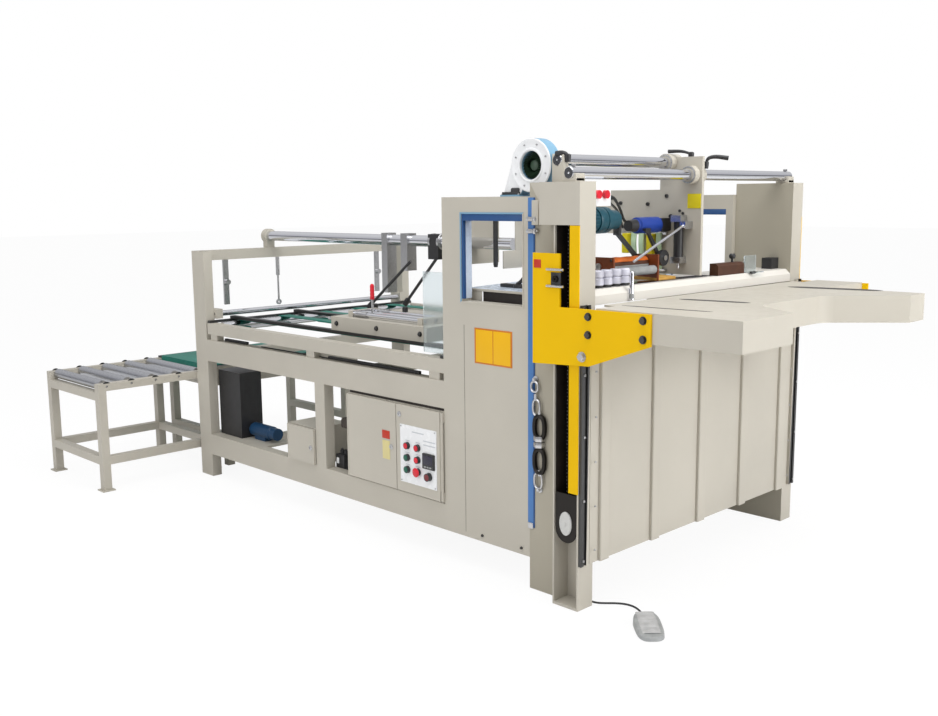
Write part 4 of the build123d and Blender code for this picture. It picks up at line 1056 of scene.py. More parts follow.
@dataclass
class WindowDetail:
    """Blue trims in the side windows and what shows through the left one."""

    low: tuple[float, float] = (-0.550, 1.022)
    high: tuple[float, float] = (-0.244, 1.343)

    def build(self) -> None:
        """Make trims, bare plates, linings, the pan with its lever, and the hanging plate and bar."""
        (x0, z0), (x1, z1) = self.low, self.high
        # The window's inner trims carry painted shade: a darker blue than the lit trims.
        trim = Form("window_edge_trims", PAINTED_SHADE_BLUE)
        trim.pad(((x0 + x1) / 2, 0.0385, z1 - 0.012), (x1 - x0, 0.049, 0.025), 0.002)
        trim.pad((x0 + 0.004, 0.0215, (z0 + z1) / 2 - 0.006), (0.009, 0.015, z1 - z0 - 0.030), 0.002)
        trim.both_sides().build()
        for side in Side:
            plate = Form(f"bare_orange_plate_{side.name.lower()}", ORANGE_PLATE)
            plate.pad((-0.389, side.y(0.0127), 0.863), (0.190, 0.0018, 0.132), 0.0006)
            plate.build()
            fields = Form(f"bare_yellow_fields_{side.name.lower()}", SIGN_AMBER)
            fields.pad([(-0.4335, side.y(0.0118), 0.863), (-0.3445, side.y(0.0118), 0.863)],
                       (0.085, 0.0012, 0.120), 0.0004)
            fields.build()
        lining = Form("window_pale_linings", PALE_PAN)
        lining.pad((x0 + 0.003, 0.0460, (z0 + z1) / 2 - 0.006), (0.005, 0.032, z1 - z0 - 0.030), 0.001)
        lining.both_sides().build()
        run, across = np.linspace(0, 1, 12)[:, None], np.linspace(0, 1, 9)[None, :]
        top = xyz(-0.60 + 0.385 * across, 0.082 + 0.56 * run, 1.064 + 0.012 * run)
        Form("inner_pan", PALE_PAN).slab(top, top - (0, 0, 0.004)).build()
        edge = Form("pan_front_edge", BEIGE)
        edge.pad((-0.4075, 0.081, 1.0605), (0.386, 0.005, 0.009), 0.0015)
        edge.pad((-0.5575, 0.083, 1.020), (0.088, 0.004, 0.075), 0.0015)
        edge.build()
        # Painted shade: a near-black sheet under the pan's front edge stands for the shade in the cavity
        # behind it.
        Form("pan_cavity_painted_shade", PAINTED_SHADE_DARK).pad((-0.364, 0.090, 1.013), (0.298, 0.004, 0.087), 0.0015).build()
        hanging = Form("hanging_side_plate", BEIGE)
        hanging.pad((-0.620, 0.411, 1.234), (0.004, 0.064, 0.222), 0.001)
        hanging.pad((-0.620, 0.376, 1.158), (0.0042, 0.134, 0.070), 0.001)
        hanging.build()
        lever = Form("pan_lever", BLACK_PLASTIC)
        lever.sweep(curve_through([(-0.430, 0.185, 1.080), (-0.405, 0.190, 1.10), (-0.345, 0.200, 1.18)]),
                    circle(0.007, 10))
        lever.pad((-0.455, 0.190, 1.073), (0.110, 0.030, 0.014), 0.004)
        lever.turn((-0.430, 0.185, 1.062), (0, 0, 1),
                   [(0, 0), (0, 0.014), (0.016, 0.014), (0.018, 0.010), (0.018, 0)], 16)
        lever.build()
        bar = Form("hanging_bar", BLACK_PLASTIC)
        bar.pad((-0.628, 0.276, 1.245), (0.010, 0.020, 0.210), 0.002)
        bar.turn((-0.628, 0.276, 1.145), (0, 0, 1),
                 [(-0.014, 0), (-0.014, 0.008), (0, 0.010), (0.010, 0.006)], 12)
        bar.build()


@dataclass
class BlowerDetail:
    """Side channel fan on the left post: rim, eye with its wheel, outlet collar and screws."""

    centre: Point = (-0.233, 0.044, 1.510)
    radius: float = 0.092
    eye: float = 0.050
    blades: int = 26
    blade_thickness: float = 0.0007

    def wheel(self) -> None:
        """Curved blades, each a strip from r0 to r1 whose angle grows by b (r - r0)^2, and a hub."""
        run = np.linspace(0, 1, 5)
        reach = 0.024 + (self.eye - 0.028) * run
        start = np.linspace(0, math.tau, self.blades, endpoint=False)[:, None]
        angle = start + 0.55 * run ** 2
        cx, cy, cz = self.centre
        x = cx + reach * np.cos(angle)
        z = cz + reach * np.sin(angle)
        front, back = cy + 0.010, cy + 0.040
        shift = self.blade_thickness / reach
        x2, z2 = cx + reach * np.cos(angle + shift), cz + reach * np.sin(angle + shift)
        ring = [(x, z, front), (x2, z2, front), (x2, z2, back), (x, z, back)]
        grid = np.stack([np.stack([a, np.full_like(a, y), b], -1) for a, b, y in ring], axis=2)
        wheel = Form("blower_wheel", DARK_GREEN)
        wheel.grid(grid, wrap_columns=True)
        wheel.turn((cx, cy + 0.041, cz), (0, -1, 0),
                   [(0, 0), (0, self.eye - 0.003), (0.001, self.eye - 0.003),
                    (0.002, 0.024), (0.024, 0.018), (0.028, 0.010),
                    (0.029, 0)], 32)
        wheel.build()

    def build(self) -> None:
        """Make the wheel, the rim, the outlet collar, screws and bolts."""
        self.wheel()
        cx, cy, cz = self.centre
        rim = Form("blower_front_rim", PANEL_WHITE, sharp=28)
        rim.turn(self.centre, (0, -1, 0), [(-0.006, self.eye - 0.001), (0.003, self.eye - 0.0005),
                                           (0.005, self.eye + 0.002), (0.005, self.eye + 0.006),
                                           (0.002, self.eye + 0.010), (0.001, self.radius - 0.012),
                                           (0.0025, self.radius - 0.008), (0.0025, self.radius - 0.003),
                                           (0.0, self.radius - 0.001), (-0.003, self.radius - 0.001)], 72)
        rim.build()
        angle = np.radians(np.arange(8) * 45 + 22.5)
        reach = self.radius - 0.018
        places = np.stack([cx + reach * np.cos(angle), np.full(8, cy - 0.001), cz + reach * np.sin(angle)],
                          -1)
        socket_screws("blower_screws", places, (0, -1, 0), 0.0035, BRIGHT_STEEL).build()
        collar = Form("blower_outlet_collar", BLACK_RUBBER)
        collar.pad((-0.324, 0.063, 1.4145), (0.082, 0.056, 0.011), 0.003)
        collar.pad((-0.3055, 0.063, 1.424), (0.040, 0.052, 0.020), 0.006)
        collar.build()
        bolts = [(x, y, 1.410) for x in (-0.363, -0.286) for y in (0.038, 0.088)]
        hex_bolts("blower_flange_bolts", bolts, (0, 0, 1), 0.007).build()


@dataclass
class HeadShafts:
    """Cross shafts over the head, the rear one's block and the front one's low saddles."""

    radius: float = 0.020
    front: tuple[float, float] = FRONT_SHAFT
    rear: tuple[float, float] = REAR_SHAFT
    front_reach: tuple[float, float] = (-0.026, 1.406)
    rear_reach: tuple[float, float] = (0.036, 0.800)
    top: float = 1.450

    def shaft(self, form: Form, place: tuple[float, float], reach: tuple[float, float]) -> None:
        """Ground shaft with chamfered ends and centre holes.

        Args:
            form: The piece that it joins.
            place: Its axis, in X and Z.
            reach: Its two ends, in Y.
        """
        length, r = reach[1] - reach[0], self.radius
        form.turn((place[0], reach[0], place[1]), (0, 1, 0),
                  [(0.004, 0), (0, 0.003), (0, r - 0.002), (0.002, r), (length - 0.002, r),
                   (length, r - 0.002), (length, 0.003), (length - 0.004, 0)], 48)

    def build(self) -> None:
        """Make the shafts, the rear block with its foot, and the saddles with their pins."""
        shafts = Form("ground_shafts", CHROME_ACROSS, sharp=25)
        self.shaft(shafts, self.front, self.front_reach)
        self.shaft(shafts, self.rear, self.rear_reach)
        shafts.build(replaces=("head_shafts",))
        x = self.rear[0]
        block = Form("shaft_seats", BEIGE)
        block.pad((x + 0.002, 0.051, 1.4745), (0.054, 0.026, 0.141), 0.004)
        fx = self.front[0]
        for y in (0.0, 2 * MIDDLE):
            block.pad((fx, y, self.top + 0.006), (0.058, 0.048, 0.0135), 0.002)
        block.pad([(fx - 0.022, 2 * MIDDLE, self.top + 0.014), (fx + 0.022, 2 * MIDDLE, self.top + 0.014),
                   (fx - 0.022, 0.0, self.top + 0.014), (fx + 0.022, 0.0, self.top + 0.014)],
                  (0.014, 0.044, 0.026), 0.002)
        block.build(replaces=("shaft_blocks",))
        pins = Form("shaft_pins", BRIGHT_STEEL)
        pins.turn([(fx, 0.0, self.front[1] + 0.017), (fx, 2 * MIDDLE, self.front[1] + 0.017)], (0, 0, 1),
                  [(0, 0.0045), (0.004, 0.0045), (0.004, 0.008), (0.011, 0.008), (0.0125, 0.006),
                   (0.0125, 0)], 6)
        pins.build()


@dataclass
class HeadDetail:
    """Clamps, screws, levers and hoses of the folding and gluing head."""

    face: float = 0.690
    body: str = "middle_head"

    def lever(self, name: str, path: Places, radius: float, body: str) -> None:
        """Clamp lever: a tapered bent handle on a round boss.

        Args:
            name: Name of the piece.
            path: Points of the handle, from the boss outwards.
            radius: Radius that the taper starts from.
            body: The body it moves with.
        """
        line = curve_through(path, 10)
        share = np.linspace(0, 1, len(line))[:, None, None]
        tangent = unit(np.gradient(line, axis=0))
        normal = unit(np.cross(tangent, (0.2, 1.0, 0.1)))
        other = np.cross(tangent, normal)
        ring = circle(radius, 12)[None] * (0.75 + 0.45 * share)
        points = line[:, None] + ring[..., :1] * normal[:, None] + ring[..., 1:] * other[:, None]
        ends = np.repeat(line[[0, -1], None], 12, axis=1)
        handle = Form(name, BLACK_PLASTIC, body)
        handle.grid(np.concatenate([ends[:1], points, ends[1:]]), wrap_columns=True)
        handle.turn(path[0], (0, 0, 1), [(-0.020, 0), (-0.020, 0.009), (-0.004, 0.011), (0.004, 0.011),
                                         (0.007, 0.006), (0.007, 0)], 18)
        handle.build()

    def middle_plate_screws(self) -> None:
        """Screws on the plate's face, nuts on washers behind it, rings round the shaft hubs and a bare
        yellow plate.
        """
        large = [(-0.381, self.face, 1.395), (-0.335, self.face, 1.375), (-0.118, self.face, 1.401),
                 (-0.205, self.face, 1.371), (-0.098, self.face, 1.325)]
        socket_screws("middle_plate_screws", large, (0, -1, 0), 0.0075, DARK_STEEL, self.body).build()
        small = [(-0.070, self.face, 1.299), (-0.044, self.face, 1.336), (-0.058, self.face, 1.345),
                 (-0.138, self.face, 1.262)]
        socket_screws("middle_plate_small_screws", small, (0, -1, 0), 0.0055, DARK_STEEL, self.body).build()
        back = [(x, self.face + 0.014, z) for x, _, z in large]
        hex_bolts("middle_plate_nuts", back, (0, 1, 0), 0.011, BRIGHT_STEEL, self.body).build()
        rings = Form("shaft_hub_rings", BRIGHT_STEEL, self.body)
        for x, z in (FRONT_SHAFT, REAR_SHAFT):
            rings.turn([(x, self.face - 0.030, z), (x, self.face + 0.044, z)], (0, 1, 0),
                       [(-0.0012, 0.0262), (-0.0012, 0.0315), (0.0012, 0.0315), (0.0012, 0.0262)], 40)
        rings.build()
        plate = Form("bare_yellow_plate", SIGN_YELLOW, self.body)
        plate.pad((0.0045, self.face - 0.001, 1.3815), (0.058, 0.002, 0.054), 0.0006)
        plate.build()

    def belts_behind(self) -> None:
        """Folding belts and their yellow guide blocks at the plate's foot."""
        blocks = Form("belt_guide_blocks", SIGN_YELLOW, self.body)
        for x in (-0.292, -0.175):
            blocks.pad((x, self.face - 0.016, 1.219), (0.030, 0.030, 0.078), 0.004)
        blocks.build()
        belts = Form("folding_belts", PALE_GREEN, self.body)
        for x in (-0.258, -0.222, -0.140):
            z = np.linspace(1.112, 1.262, 14)[:, None]
            t = np.linspace(0, math.tau, 14, endpoint=False)[None, :]
            wave = 0.003 * np.sin((z - 1.11) * 40)
            points = xyz(x + 0.0125 * squared(np.cos(t), 0.3), self.face - 0.014 + 0.004 * np.sin(t) + wave,
                         z)
            cap = points.mean(axis=1, keepdims=True).repeat(points.shape[1], axis=1)
            belts.grid(np.concatenate([cap[:1], points, cap[-1:]]), wrap_columns=True)
        belts.build()
        bar = Form("belt_guide_bar", BRIGHT_STEEL, self.body)
        bar.pad((-0.215, self.face - 0.006, 1.260), (0.210, 0.012, 0.012), 0.002)
        bar.pad((-0.215, self.face - 0.010, 1.118), (0.210, 0.020, 0.010), 0.002)
        bar.build()

    def glue_area(self) -> None:
        """Yellow feed plate, glue tray, and the end plates' screws and roller hubs."""
        u, v = np.linspace(-1, 1, 13)[:, None], np.linspace(-1, 1, 9)[None, :]
        top = xyz(-0.115 + 0.090 * u, 0.560 + 0.062 * v, 1.1035 + 0.0035 * (1 - u ** 2))
        Form("feed_support_plate", WOOD_YELLOW).slab(top, top * (1, 1, 0) + (0, 0, 1.0955)).build()
        tray = Form("glue_tray", ORANGE_GLUE)
        t = np.linspace(0.15 * math.pi, 0.97 * math.pi, 18)[:, None]
        s = np.linspace(0.250, 0.494, 12)[None, :]
        ripple = 0.0012 * np.sin(s * 190 + 3 * t) + 0.0008 * np.sin(s * 77)
        reach = 0.0285 + ripple
        tray.grid(xyz(-0.084 + reach * np.cos(t), s, 1.157 + reach * np.sin(t)))
        tray.grid(xyz(-0.084 + 0.0265 * np.cos(t), s, 1.157 + 0.0265 * np.sin(t)))
        tray.build()
        ends = [(x, 0.236, z) for z in (1.180, 1.105) for x in (-0.104, -0.030)]
        socket_screws("glue_plate_screws", ends, (0, -1, 0), 0.0045, DARK_STEEL).build()
        hubs = Form("glue_roller_hubs", BRIGHT_STEEL)
        hubs.turn([(-0.084, 0.236, 1.157), (-0.036, 0.236, 1.135)], (0, -1, 0),
                  [(0, 0.012), (0.006, 0.012), (0.0075, 0.010), (0.0075, 0.005), (0.004, 0.0045),
                   (0.004, 0)], 24)
        hubs.build()

    def build(self) -> None:
        """Make the head's levers, screws, belts, glue parts and hoses."""
        self.lever("middle_clamp_lever",
                   [(-0.022, 0.702, 1.5560), (-0.060, 0.694, 1.566), (-0.110, 0.682, 1.567)],
                   0.006, self.body)
        self.lever("far_clamp_lever", [(0.030, 0.722, 1.520), (0.038, 0.728, 1.538), (0.060, 0.742, 1.543),
                                       (0.100, 0.762, 1.537)], 0.0072, self.body)
        self.lever("rear_clamp_lever",
                   [(-0.074, 0.051, 1.536), (-0.088, 0.045, 1.545), (-0.114, 0.038, 1.543)], 0.009, MAIN)
        self.middle_plate_screws()
        self.belts_behind()
        self.glue_area()
        hoses = Form("head_hoses", BLACK_RUBBER, self.body)
        hoses.sweep(curve_through([(-0.150, 0.30, 1.372), (-0.17, 0.36, 1.395), (-0.20, 0.46, 1.398),
                                   (-0.26, 0.58, 1.36), (-0.30, 0.66, 1.315), (-0.31, 0.689, 1.30)], 8),
                    circle(0.0055, 10))
        hoses.sweep(curve_through([(-0.138, 0.29, 1.374), (-0.17, 0.34, 1.404), (-0.22, 0.44, 1.392),
                                   (-0.275, 0.59, 1.345), (-0.325, 0.689, 1.28)], 8), circle(0.0045, 10))
        hoses.build()


@dataclass
class FoldingMotorDetail:
    """Cooling fins, fan cover, terminal box and flange bolts of the teal folding motor."""

    centre: tuple[float, float] = (-0.120, 1.318)
    radius: float = 0.042
    fin_count: int = 24
    fin_ends: tuple[float, float] = (0.090, 0.230)

    def build(self) -> None:
        """Make the fins, whose radius is a clipped cosine of the angle, the cover, box and bolts."""
        x, z = self.centre
        angle = np.linspace(0, math.tau, self.fin_count * 6, endpoint=False)
        fin = np.clip(2.2 * np.cos(self.fin_count * angle), -1, 1) * 0.5 + 0.5
        reach = self.radius + 0.0005 + 0.004 * fin
        root = self.radius - 0.001
        ring = xyz(x + reach * np.cos(angle), 0, z + reach * np.sin(angle))
        inner = xyz(x + root * np.cos(angle), 0, z + root * np.sin(angle))
        near, far = ((0, y, 0) for y in self.fin_ends)
        fins = Form("folding_motor_fins", TEAL)
        fins.grid(np.stack([inner + near, ring + near, ring + far, inner + far]), wrap_columns=True)
        fins.turn((x, 0.239, z), (0, 1, 0),
                  [(0, self.radius), (0, self.radius + 0.004), (0.004, self.radius + 0.0055),
                   (0.040, self.radius + 0.0055), (0.044, self.radius + 0.003),
                   (0.044, self.radius)], 48)
        fins.pad((x, 0.140, z + self.radius + 0.013), (0.060, 0.075, 0.034), 0.005)
        fins.build()
        screws = [(x + sx * 0.023, 0.140 + sy * 0.030, z + self.radius + 0.030)
                  for sx in (-1, 1) for sy in (-1, 1)]
        socket_screws("terminal_box_screws", screws, (0, 0, 1), 0.003, BRIGHT_STEEL).build()
        flange = [(x + sx * 0.043, 0.054, z + sz * 0.043) for sx in (-1, 1) for sz in (-1, 1)]
        hex_bolts("folding_motor_bolts", flange, (0, 1, 0), 0.009).build()


@dataclass
class ControlPanelDetail:
    """Buttons, knob, display and bare strips on the control panel."""

    face_y: float = -0.003
    columns: tuple[float, float] = (-0.854, -0.792)
    rows: tuple[float, float, float] = (0.424, 0.375, 0.326)
    green: tuple[int, int] = (2, 4)
    knob: tuple[float, float] = (-0.727, 0.318)
    knurls: int = 20
    display_x: float = -0.7265
    body: str = "control_door"

    def cap(self, form: Form, x: float, z: float, radius: float) -> None:
        """Domed push-button cap standing in its bezel.

        Args:
            form: The piece that it joins.
            x: Place along X.
            z: Place along Z.
            radius: Its radius.
        """
        form.turn((x, self.face_y, z), (0, -1, 0),
                  [(0.0115, radius * 1.02), (0.0135, radius * 1.02), (0.0150, radius * 0.9),
                   (0.0156, radius * 0.5), (0.0158, 0)], 28)

    def build(self) -> None:
        """Make bezels, caps, knob, display, keys, bare strips and screws."""
        knob_x, knob_z = self.knob
        grid = [(x, z) for z in self.rows for x in self.columns]
        bezels = Form("button_bezels", BLACK_PLASTIC, self.body)
        bezels.turn([(x, self.face_y, z) for x, z in grid], (0, -1, 0),
                    [(-0.0005, 0.0140), (0.0, 0.0148), (0.0030, 0.0148), (0.0045, 0.0138), (0.0118, 0.0130),
                     (0.0125, 0.0120), (0.0125, 0.0108), (0.009, 0.0105)], 36)
        bezels.turn((knob_x, self.face_y, knob_z), (0, -1, 0),
                    [(-0.0005, 0.0160), (0.0, 0.0168), (0.0030, 0.0168), (0.0045, 0.0158)], 36)
        bezels.build()
        reds, greens = Form("red_buttons", RED_CAP, self.body), Form("green_buttons", GREEN_CAP, self.body)
        for index, (x, z) in enumerate(grid):
            self.cap(greens if index in self.green else reds, x, z, 0.0112)
        reds.turn((self.columns[1], self.face_y, self.rows[2]), (0, -1, 0),
                  [(0.0128, 0.010), (0.0128, 0.0175), (0.0150, 0.0190), (0.0158, 0.0175), (0.0162, 0)], 36)
        reds.build()
        greens.build()
        knob = Form("speed_knob", DARK_RED_CAP, self.body)
        angle = np.linspace(0, math.tau, self.knurls * 4, endpoint=False)
        reach = 0.0128 + 0.0005 * np.cos(self.knurls * angle)
        outline = reach[:, None] * polar(angle)
        knob.plate((knob_x, self.face_y - 0.0158, knob_z), (-1, 0, 0), (0, 0, 1), outline, -0.0004, 0.0)
        knob.turn((knob_x, self.face_y, knob_z), (0, -1, 0),
                  [(0.003, 0.0135), (0.013, 0.0130), (0.0158, 0.0115), (0.0160, 0)], 40)
        knob.build()
        display = Form("panel_display", BLACK_PLASTIC, self.body)
        display.pad((self.display_x, self.face_y - 0.004, 0.380), (0.066, 0.010, 0.062), 0.002)
        display.build()
        glass = Form("display_glass", DISPLAY_GLASS, self.body)
        glass.pad((self.display_x, self.face_y - 0.0086, 0.3860), (0.056, 0.0016, 0.038), 0.0005)
        glass.build()
        keys = Form("display_keys", GREY_CAST, self.body)
        keys.pad([(self.display_x + step * 0.016, self.face_y - 0.0092, 0.3575) for step in (-1, 0, 1)],
                 (0.011, 0.0024, 0.006), 0.001)
        keys.build()
        marks = Form("panel_bare_strips", PANEL_GREY, self.body)
        marks.pad([(-0.792, self.face_y - 0.0001, 0.484), (-0.725, self.face_y - 0.0001, 0.458),
                   (-0.725, self.face_y - 0.0001, 0.442)], (0.070, 0.0008, 0.0045), 0.0003)
        marks.pad([(x, self.face_y - 0.0001, z + 0.0205) for x, z in grid], (0.026, 0.0008, 0.0030), 0.0003)
        marks.build()
        corners = [(x, self.face_y, z) for x in (-0.892, -0.692) for z in (0.277, 0.500)]
        socket_screws("panel_screws", corners, (0, -1, 0), 0.0032, BRIGHT_STEEL, self.body).build()


@dataclass
class DoorDetail:
    """Locks of the three doors, and the bare sign plates on the cabinet's."""

    def lock(self, name: str, place: Point, body: str) -> None:
        """Round cam lock with a slot.

        Args:
            name: Name of the piece.
            place: Where it stands on the door.
            body: The door that it moves with.
        """
        form = Form(name, BRIGHT_STEEL, body)
        form.turn(place, (0, -1, 0), [(0, 0), (0, 0.0115), (0.002, 0.0115), (0.004, 0.0095), (0.0045, 0.004),
                                      (0.002, 0.0035), (0.002, 0)], 28)
        form.build()

    def build(self) -> None:
        """Make the locks and the bare plates."""
        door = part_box("cabinet_door")
        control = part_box("control_door")
        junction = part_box("junction_door")
        right = door[1][0]
        self.lock("cabinet_door_lock", (right - 0.030, door[0][1], 0.400), "cabinet_door")
        self.lock("control_door_lock", (control[0][0] + 0.020, control[0][1], 0.545), "control_door")
        self.lock("junction_door_lock", (junction[1][0] - 0.022, junction[0][1], 0.300), "junction_door")
        red = Form("bare_red_plate", RED_PLATE, "cabinet_door")
        red.pad((right - 0.062, door[0][1] - 0.0006, 0.447), (0.048, 0.0016, 0.034), 0.0005)
        red.build()
        yellow = Form("bare_sign_plate", SIGN_PALE, "cabinet_door")
        yellow.pad((right - 0.062, door[0][1] - 0.0006, 0.383), (0.046, 0.0016, 0.078), 0.0005)
        yellow.build()


@dataclass
class PressDetail:
    """Bolts, grip, springs and lever sleeves of the press carriage, and the long shaft's collars."""

    tray_front: float = 0.150
    rod_height: float = 0.895
    spring_coils: int = 9
    spring_radius: float = 0.0125
    spring_pitch: float = 0.009
    collar_x: float = -1.1575
    rods: tuple[tuple[Point, Point], ...] = (
        ((-1.309, 0.430, 1.121), (-1.598, 0.430, 0.907)),
        ((-1.137, 0.430, 1.140), (-1.338, 0.430, 0.940)))

    def build(self) -> None:
        """Make tray bolts, the red grip, rod nuts, springs, lever sleeves and shaft collars.

        A spring is a helix, P(s) = (x + p s / 2 pi, y + r cos s, z + r sin s).
        """
        front = [(x, self.tray_front, 0.850) for x in (-1.50, -1.22, -0.94)]
        hex_bolts("press_tray_bolts", front, (0, -1, 0), 0.016, DARK_STEEL).build()
        grip = Form("red_grip", RED_CAP, sharp=25)
        grip.turn((-1.367, 0.250, 0.958), (0, 0, 1),
                  [(0, 0.0052), (0, 0.008), (0.004, 0.0100), (0.012, 0.0102), (0.018, 0.0088),
                   (0.024, 0.0102),
                   (0.032, 0.0088), (0.040, 0.0102), (0.048, 0.0090), (0.058, 0.0100), (0.066, 0.0080),
                   (0.070, 0.004), (0.070, 0)], 20)
        grip.build()
        nuts = [(x, y, self.rod_height) for x in (-1.461, -0.964) for y in (0.200, 0.260, 0.330)]
        left = hex_bolts("press_rod_nuts", nuts[:3], (-1, 0, 0), 0.013)
        left.turn(nuts[3:], (1, 0, 0), [(0, 0.0085), (0.006, 0.0085), (0.008, 0.0070), (0.008, 0)], 6)
        left.build()
        spring = Form("press_springs", BRIGHT_STEEL)
        s = np.linspace(0, self.spring_coils * math.tau, self.spring_coils * 14)
        for y in (0.200, 0.330):
            line = xyz(-1.42 + self.spring_pitch * s / math.tau, y + self.spring_radius * np.cos(s),
                       self.rod_height + self.spring_radius * np.sin(s))
            spring.sweep(line, circle(0.0016, 6), (1, 0.02, 0.03))
        spring.build()
        sleeves = Form("press_lever_sleeves", BLACK_RUBBER)
        for start, end in self.rods:
            sleeves.sweep(np.linspace(start, end, 6), circle(0.0068, 16))
        sleeves.build()
        collars = Form("guide_shaft_collars", BRIGHT_STEEL)
        collars.turn([(self.collar_x + step, 0.460, 1.212) for step in (-0.034, 0.022)], (1, 0, 0),
                     [(0, 0.0251), (0, 0.0345), (0.0015, 0.036), (0.0105, 0.036), (0.012, 0.0345),
                      (0.012, 0.0251)], 40)
        collars.build()


@dataclass
class TableDetail:
    """Seams with painted shade and apron of the feed table, and the deck's painted shade strip, post and
    clear stop.
    """

    top: float = 1.047
    body: str = "lift_table"

    def seam(self, form: Form, start: tuple[float, float], end: tuple[float, float], width: float) -> None:
        """Dark flat strip, tapered at both ends, w = w0 (1 - (2 s - 1)^8).

        Args:
            form: The piece that it joins.
            start: One end, in X and Y.
            end: The other end.
            width: Width at the middle.
        """
        s = np.linspace(0, 1, 24)[:, None]
        a, b = np.array(start), np.array(end)
        way = (b - a) / np.linalg.norm(b - a)
        side = np.array([-way[1], way[0]])
        half = width / 2 * (1 - (2 * s - 1) ** 8)
        edge = [(-1, 0.0), (-1, 0.0006), (1, 0.0006), (1, 0.0)]
        rows = [np.concatenate([a + s * (b - a) + sign * half * side,
                                np.full_like(s, self.top + lift - 0.0001)], -1)
                for sign, lift in edge]
        form.grid(np.stack(rows, axis=1), wrap_columns=True)

    def build(self) -> None:
        """Make seams, painted shade on table and deck, apron, the chrome post with its cone and the clear
        stop.
        """
        # Painted shade: the first strip is a seam line, the second a seam widened by painted shade, the
        # third painted shade alone.
        seams = Form("table_seams_and_painted_shade", SEAM_AND_SHADE_DARK, self.body)
        self.seam(seams, (0.135, 0.081), (0.464, 0.106), 0.014)
        self.seam(seams, (0.155, 0.380), (0.411, 0.418), 0.034)
        self.seam(seams, (0.197, 1.058), (0.550, 1.119), 0.060)
        seams.build()
        apron = Form("table_apron", BEIGE, self.body)
        apron.pad((0.106, MIDDLE, self.top - 0.0035), (0.056, 1.26, 0.006), 0.0015)
        apron.pad([(0.090, 0.10, self.top - 0.016), (0.090, MIDDLE, self.top - 0.016),
                   (0.090, 2 * MIDDLE - 0.10, self.top - 0.016)], (0.020, 0.030, 0.022), 0.002)
        apron.build()
        # Painted shade: a thin near-black sheet on the deck's top, by its lip.
        shade_strip = Form("deck_painted_shade_strip", PAINTED_SHADE_GLOSS)
        shade_strip.pad((-0.018, 0.5575, 1.0958), (0.056, 0.515, 0.0012), 0.0004)
        shade_strip.build()
        post = Form("lip_post", CHROME_ALONG, sharp=25)
        post.turn((0.0655, 0.228, 1.049), (0, 0, 1),
                  [(0, 0), (0, 0.0095), (0.004, 0.0095), (0.010, 0.0078), (0.090, 0.0078), (0.096, 0.0070),
                   (0.098, 0.0045), (0.098, 0)], 28)
        post.pad((0.0585, 0.228, 1.070), (0.006, 0.020, 0.040), 0.0015)
        post.build()
        cone = Form("lip_post_cone", GREY_CAST)
        cone.turn((0.0655, 0.228, 1.0495), (0, 0, 1),
                  [(0, 0.0085), (0, 0.0092), (0.004, 0.0092), (0.022, 0.0079)], 28)
        cone.build()
        stop = Form("clear_side_stop", CLEAR)
        stop.pad((0.020, 1.075, 1.120), (0.004, 0.090, 0.085), 0.0012)
        stop.pad((0.030, 1.075, 1.0965), (0.060, 0.090, 0.004), 0.0012)
        stop.build()
        foot = Form("side_stop_clamp", DARK_STEEL)
        foot.pad((0.052, 1.045, 1.0965), (0.012, 0.030, 0.010), 0.002)
        foot.build()


@dataclass
class GuardDetail:
    """Rivets on the ribbed guard and screws on its edge rails."""

    def build(self) -> None:
        """Make a row of rivets along each edge, and the rails' screws."""
        low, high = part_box("ribbed_guard")
        heights = np.linspace(low[2] + 0.05, high[2] - 0.05, 6)
        rivets = [(high[0] - 0.0005, y, z) for y in (low[1] + 0.012, high[1] - 0.012) for z in heights]
        socket_screws("guard_rivets", rivets, (1, 0, 0), 0.0042, BRIGHT_STEEL).build()
        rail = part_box("guide_rails")[1][0]
        places = [(rail, -0.026, height) for height in (0.18, 0.39, 0.61, 0.82)]
        socket_screws("guide_rail_screws", places, (1, 0, 0), 0.0045, BRIGHT_STEEL).both_sides().build()


@dataclass
class StandDetail:
    """Dark end caps of the stand's rollers."""

    rollers: int = 5

    def build(self) -> None:
        """Make a cap on both ends of each roller."""
        for index in range(1, self.rollers + 1):
            node = f"stand_roller_{index}"
            low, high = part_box(node)
            middle = ((low[1] + high[1]) / 2, (low[2] + high[2]) / 2)
            caps = Form(f"{node}_caps", BLACK_PLASTIC, node)
            radius = (high[2] - low[2]) / 2
            for x, sign in ((low[0], -1), (high[0], 1)):
                caps.turn((x, *middle), (sign, 0, 0), [(-0.001, radius * 0.93), (0.0006, radius * 0.90),
                                                       (0.0012, radius * 0.55), (0.0004, radius * 0.5),
                                                       (0.0004, radius * 0.3)], 32)
            caps.build()


@dataclass
class FrameBolts:
    """Bolts at the feet of the side frames, and a seam down each."""

    face_y: float = 0.013

    def build(self) -> None:
        """Make the bolts and the seams."""
        y = self.face_y
        frame_bolts = [(x, y, 0.140) for x in (-0.45, -0.25)]
        socket_screws("side_frame_bolts", frame_bolts, (0, -1, 0), 0.0055, DARK_STEEL).both_sides().build()
        seams = Form("side_frame_seams", PAINT_SEAM)
        seams.pad((-0.5395, y + 0.0002, 0.535), (0.0030, 0.0016, 0.800), 0.0005)
        seams.both_sides().build()


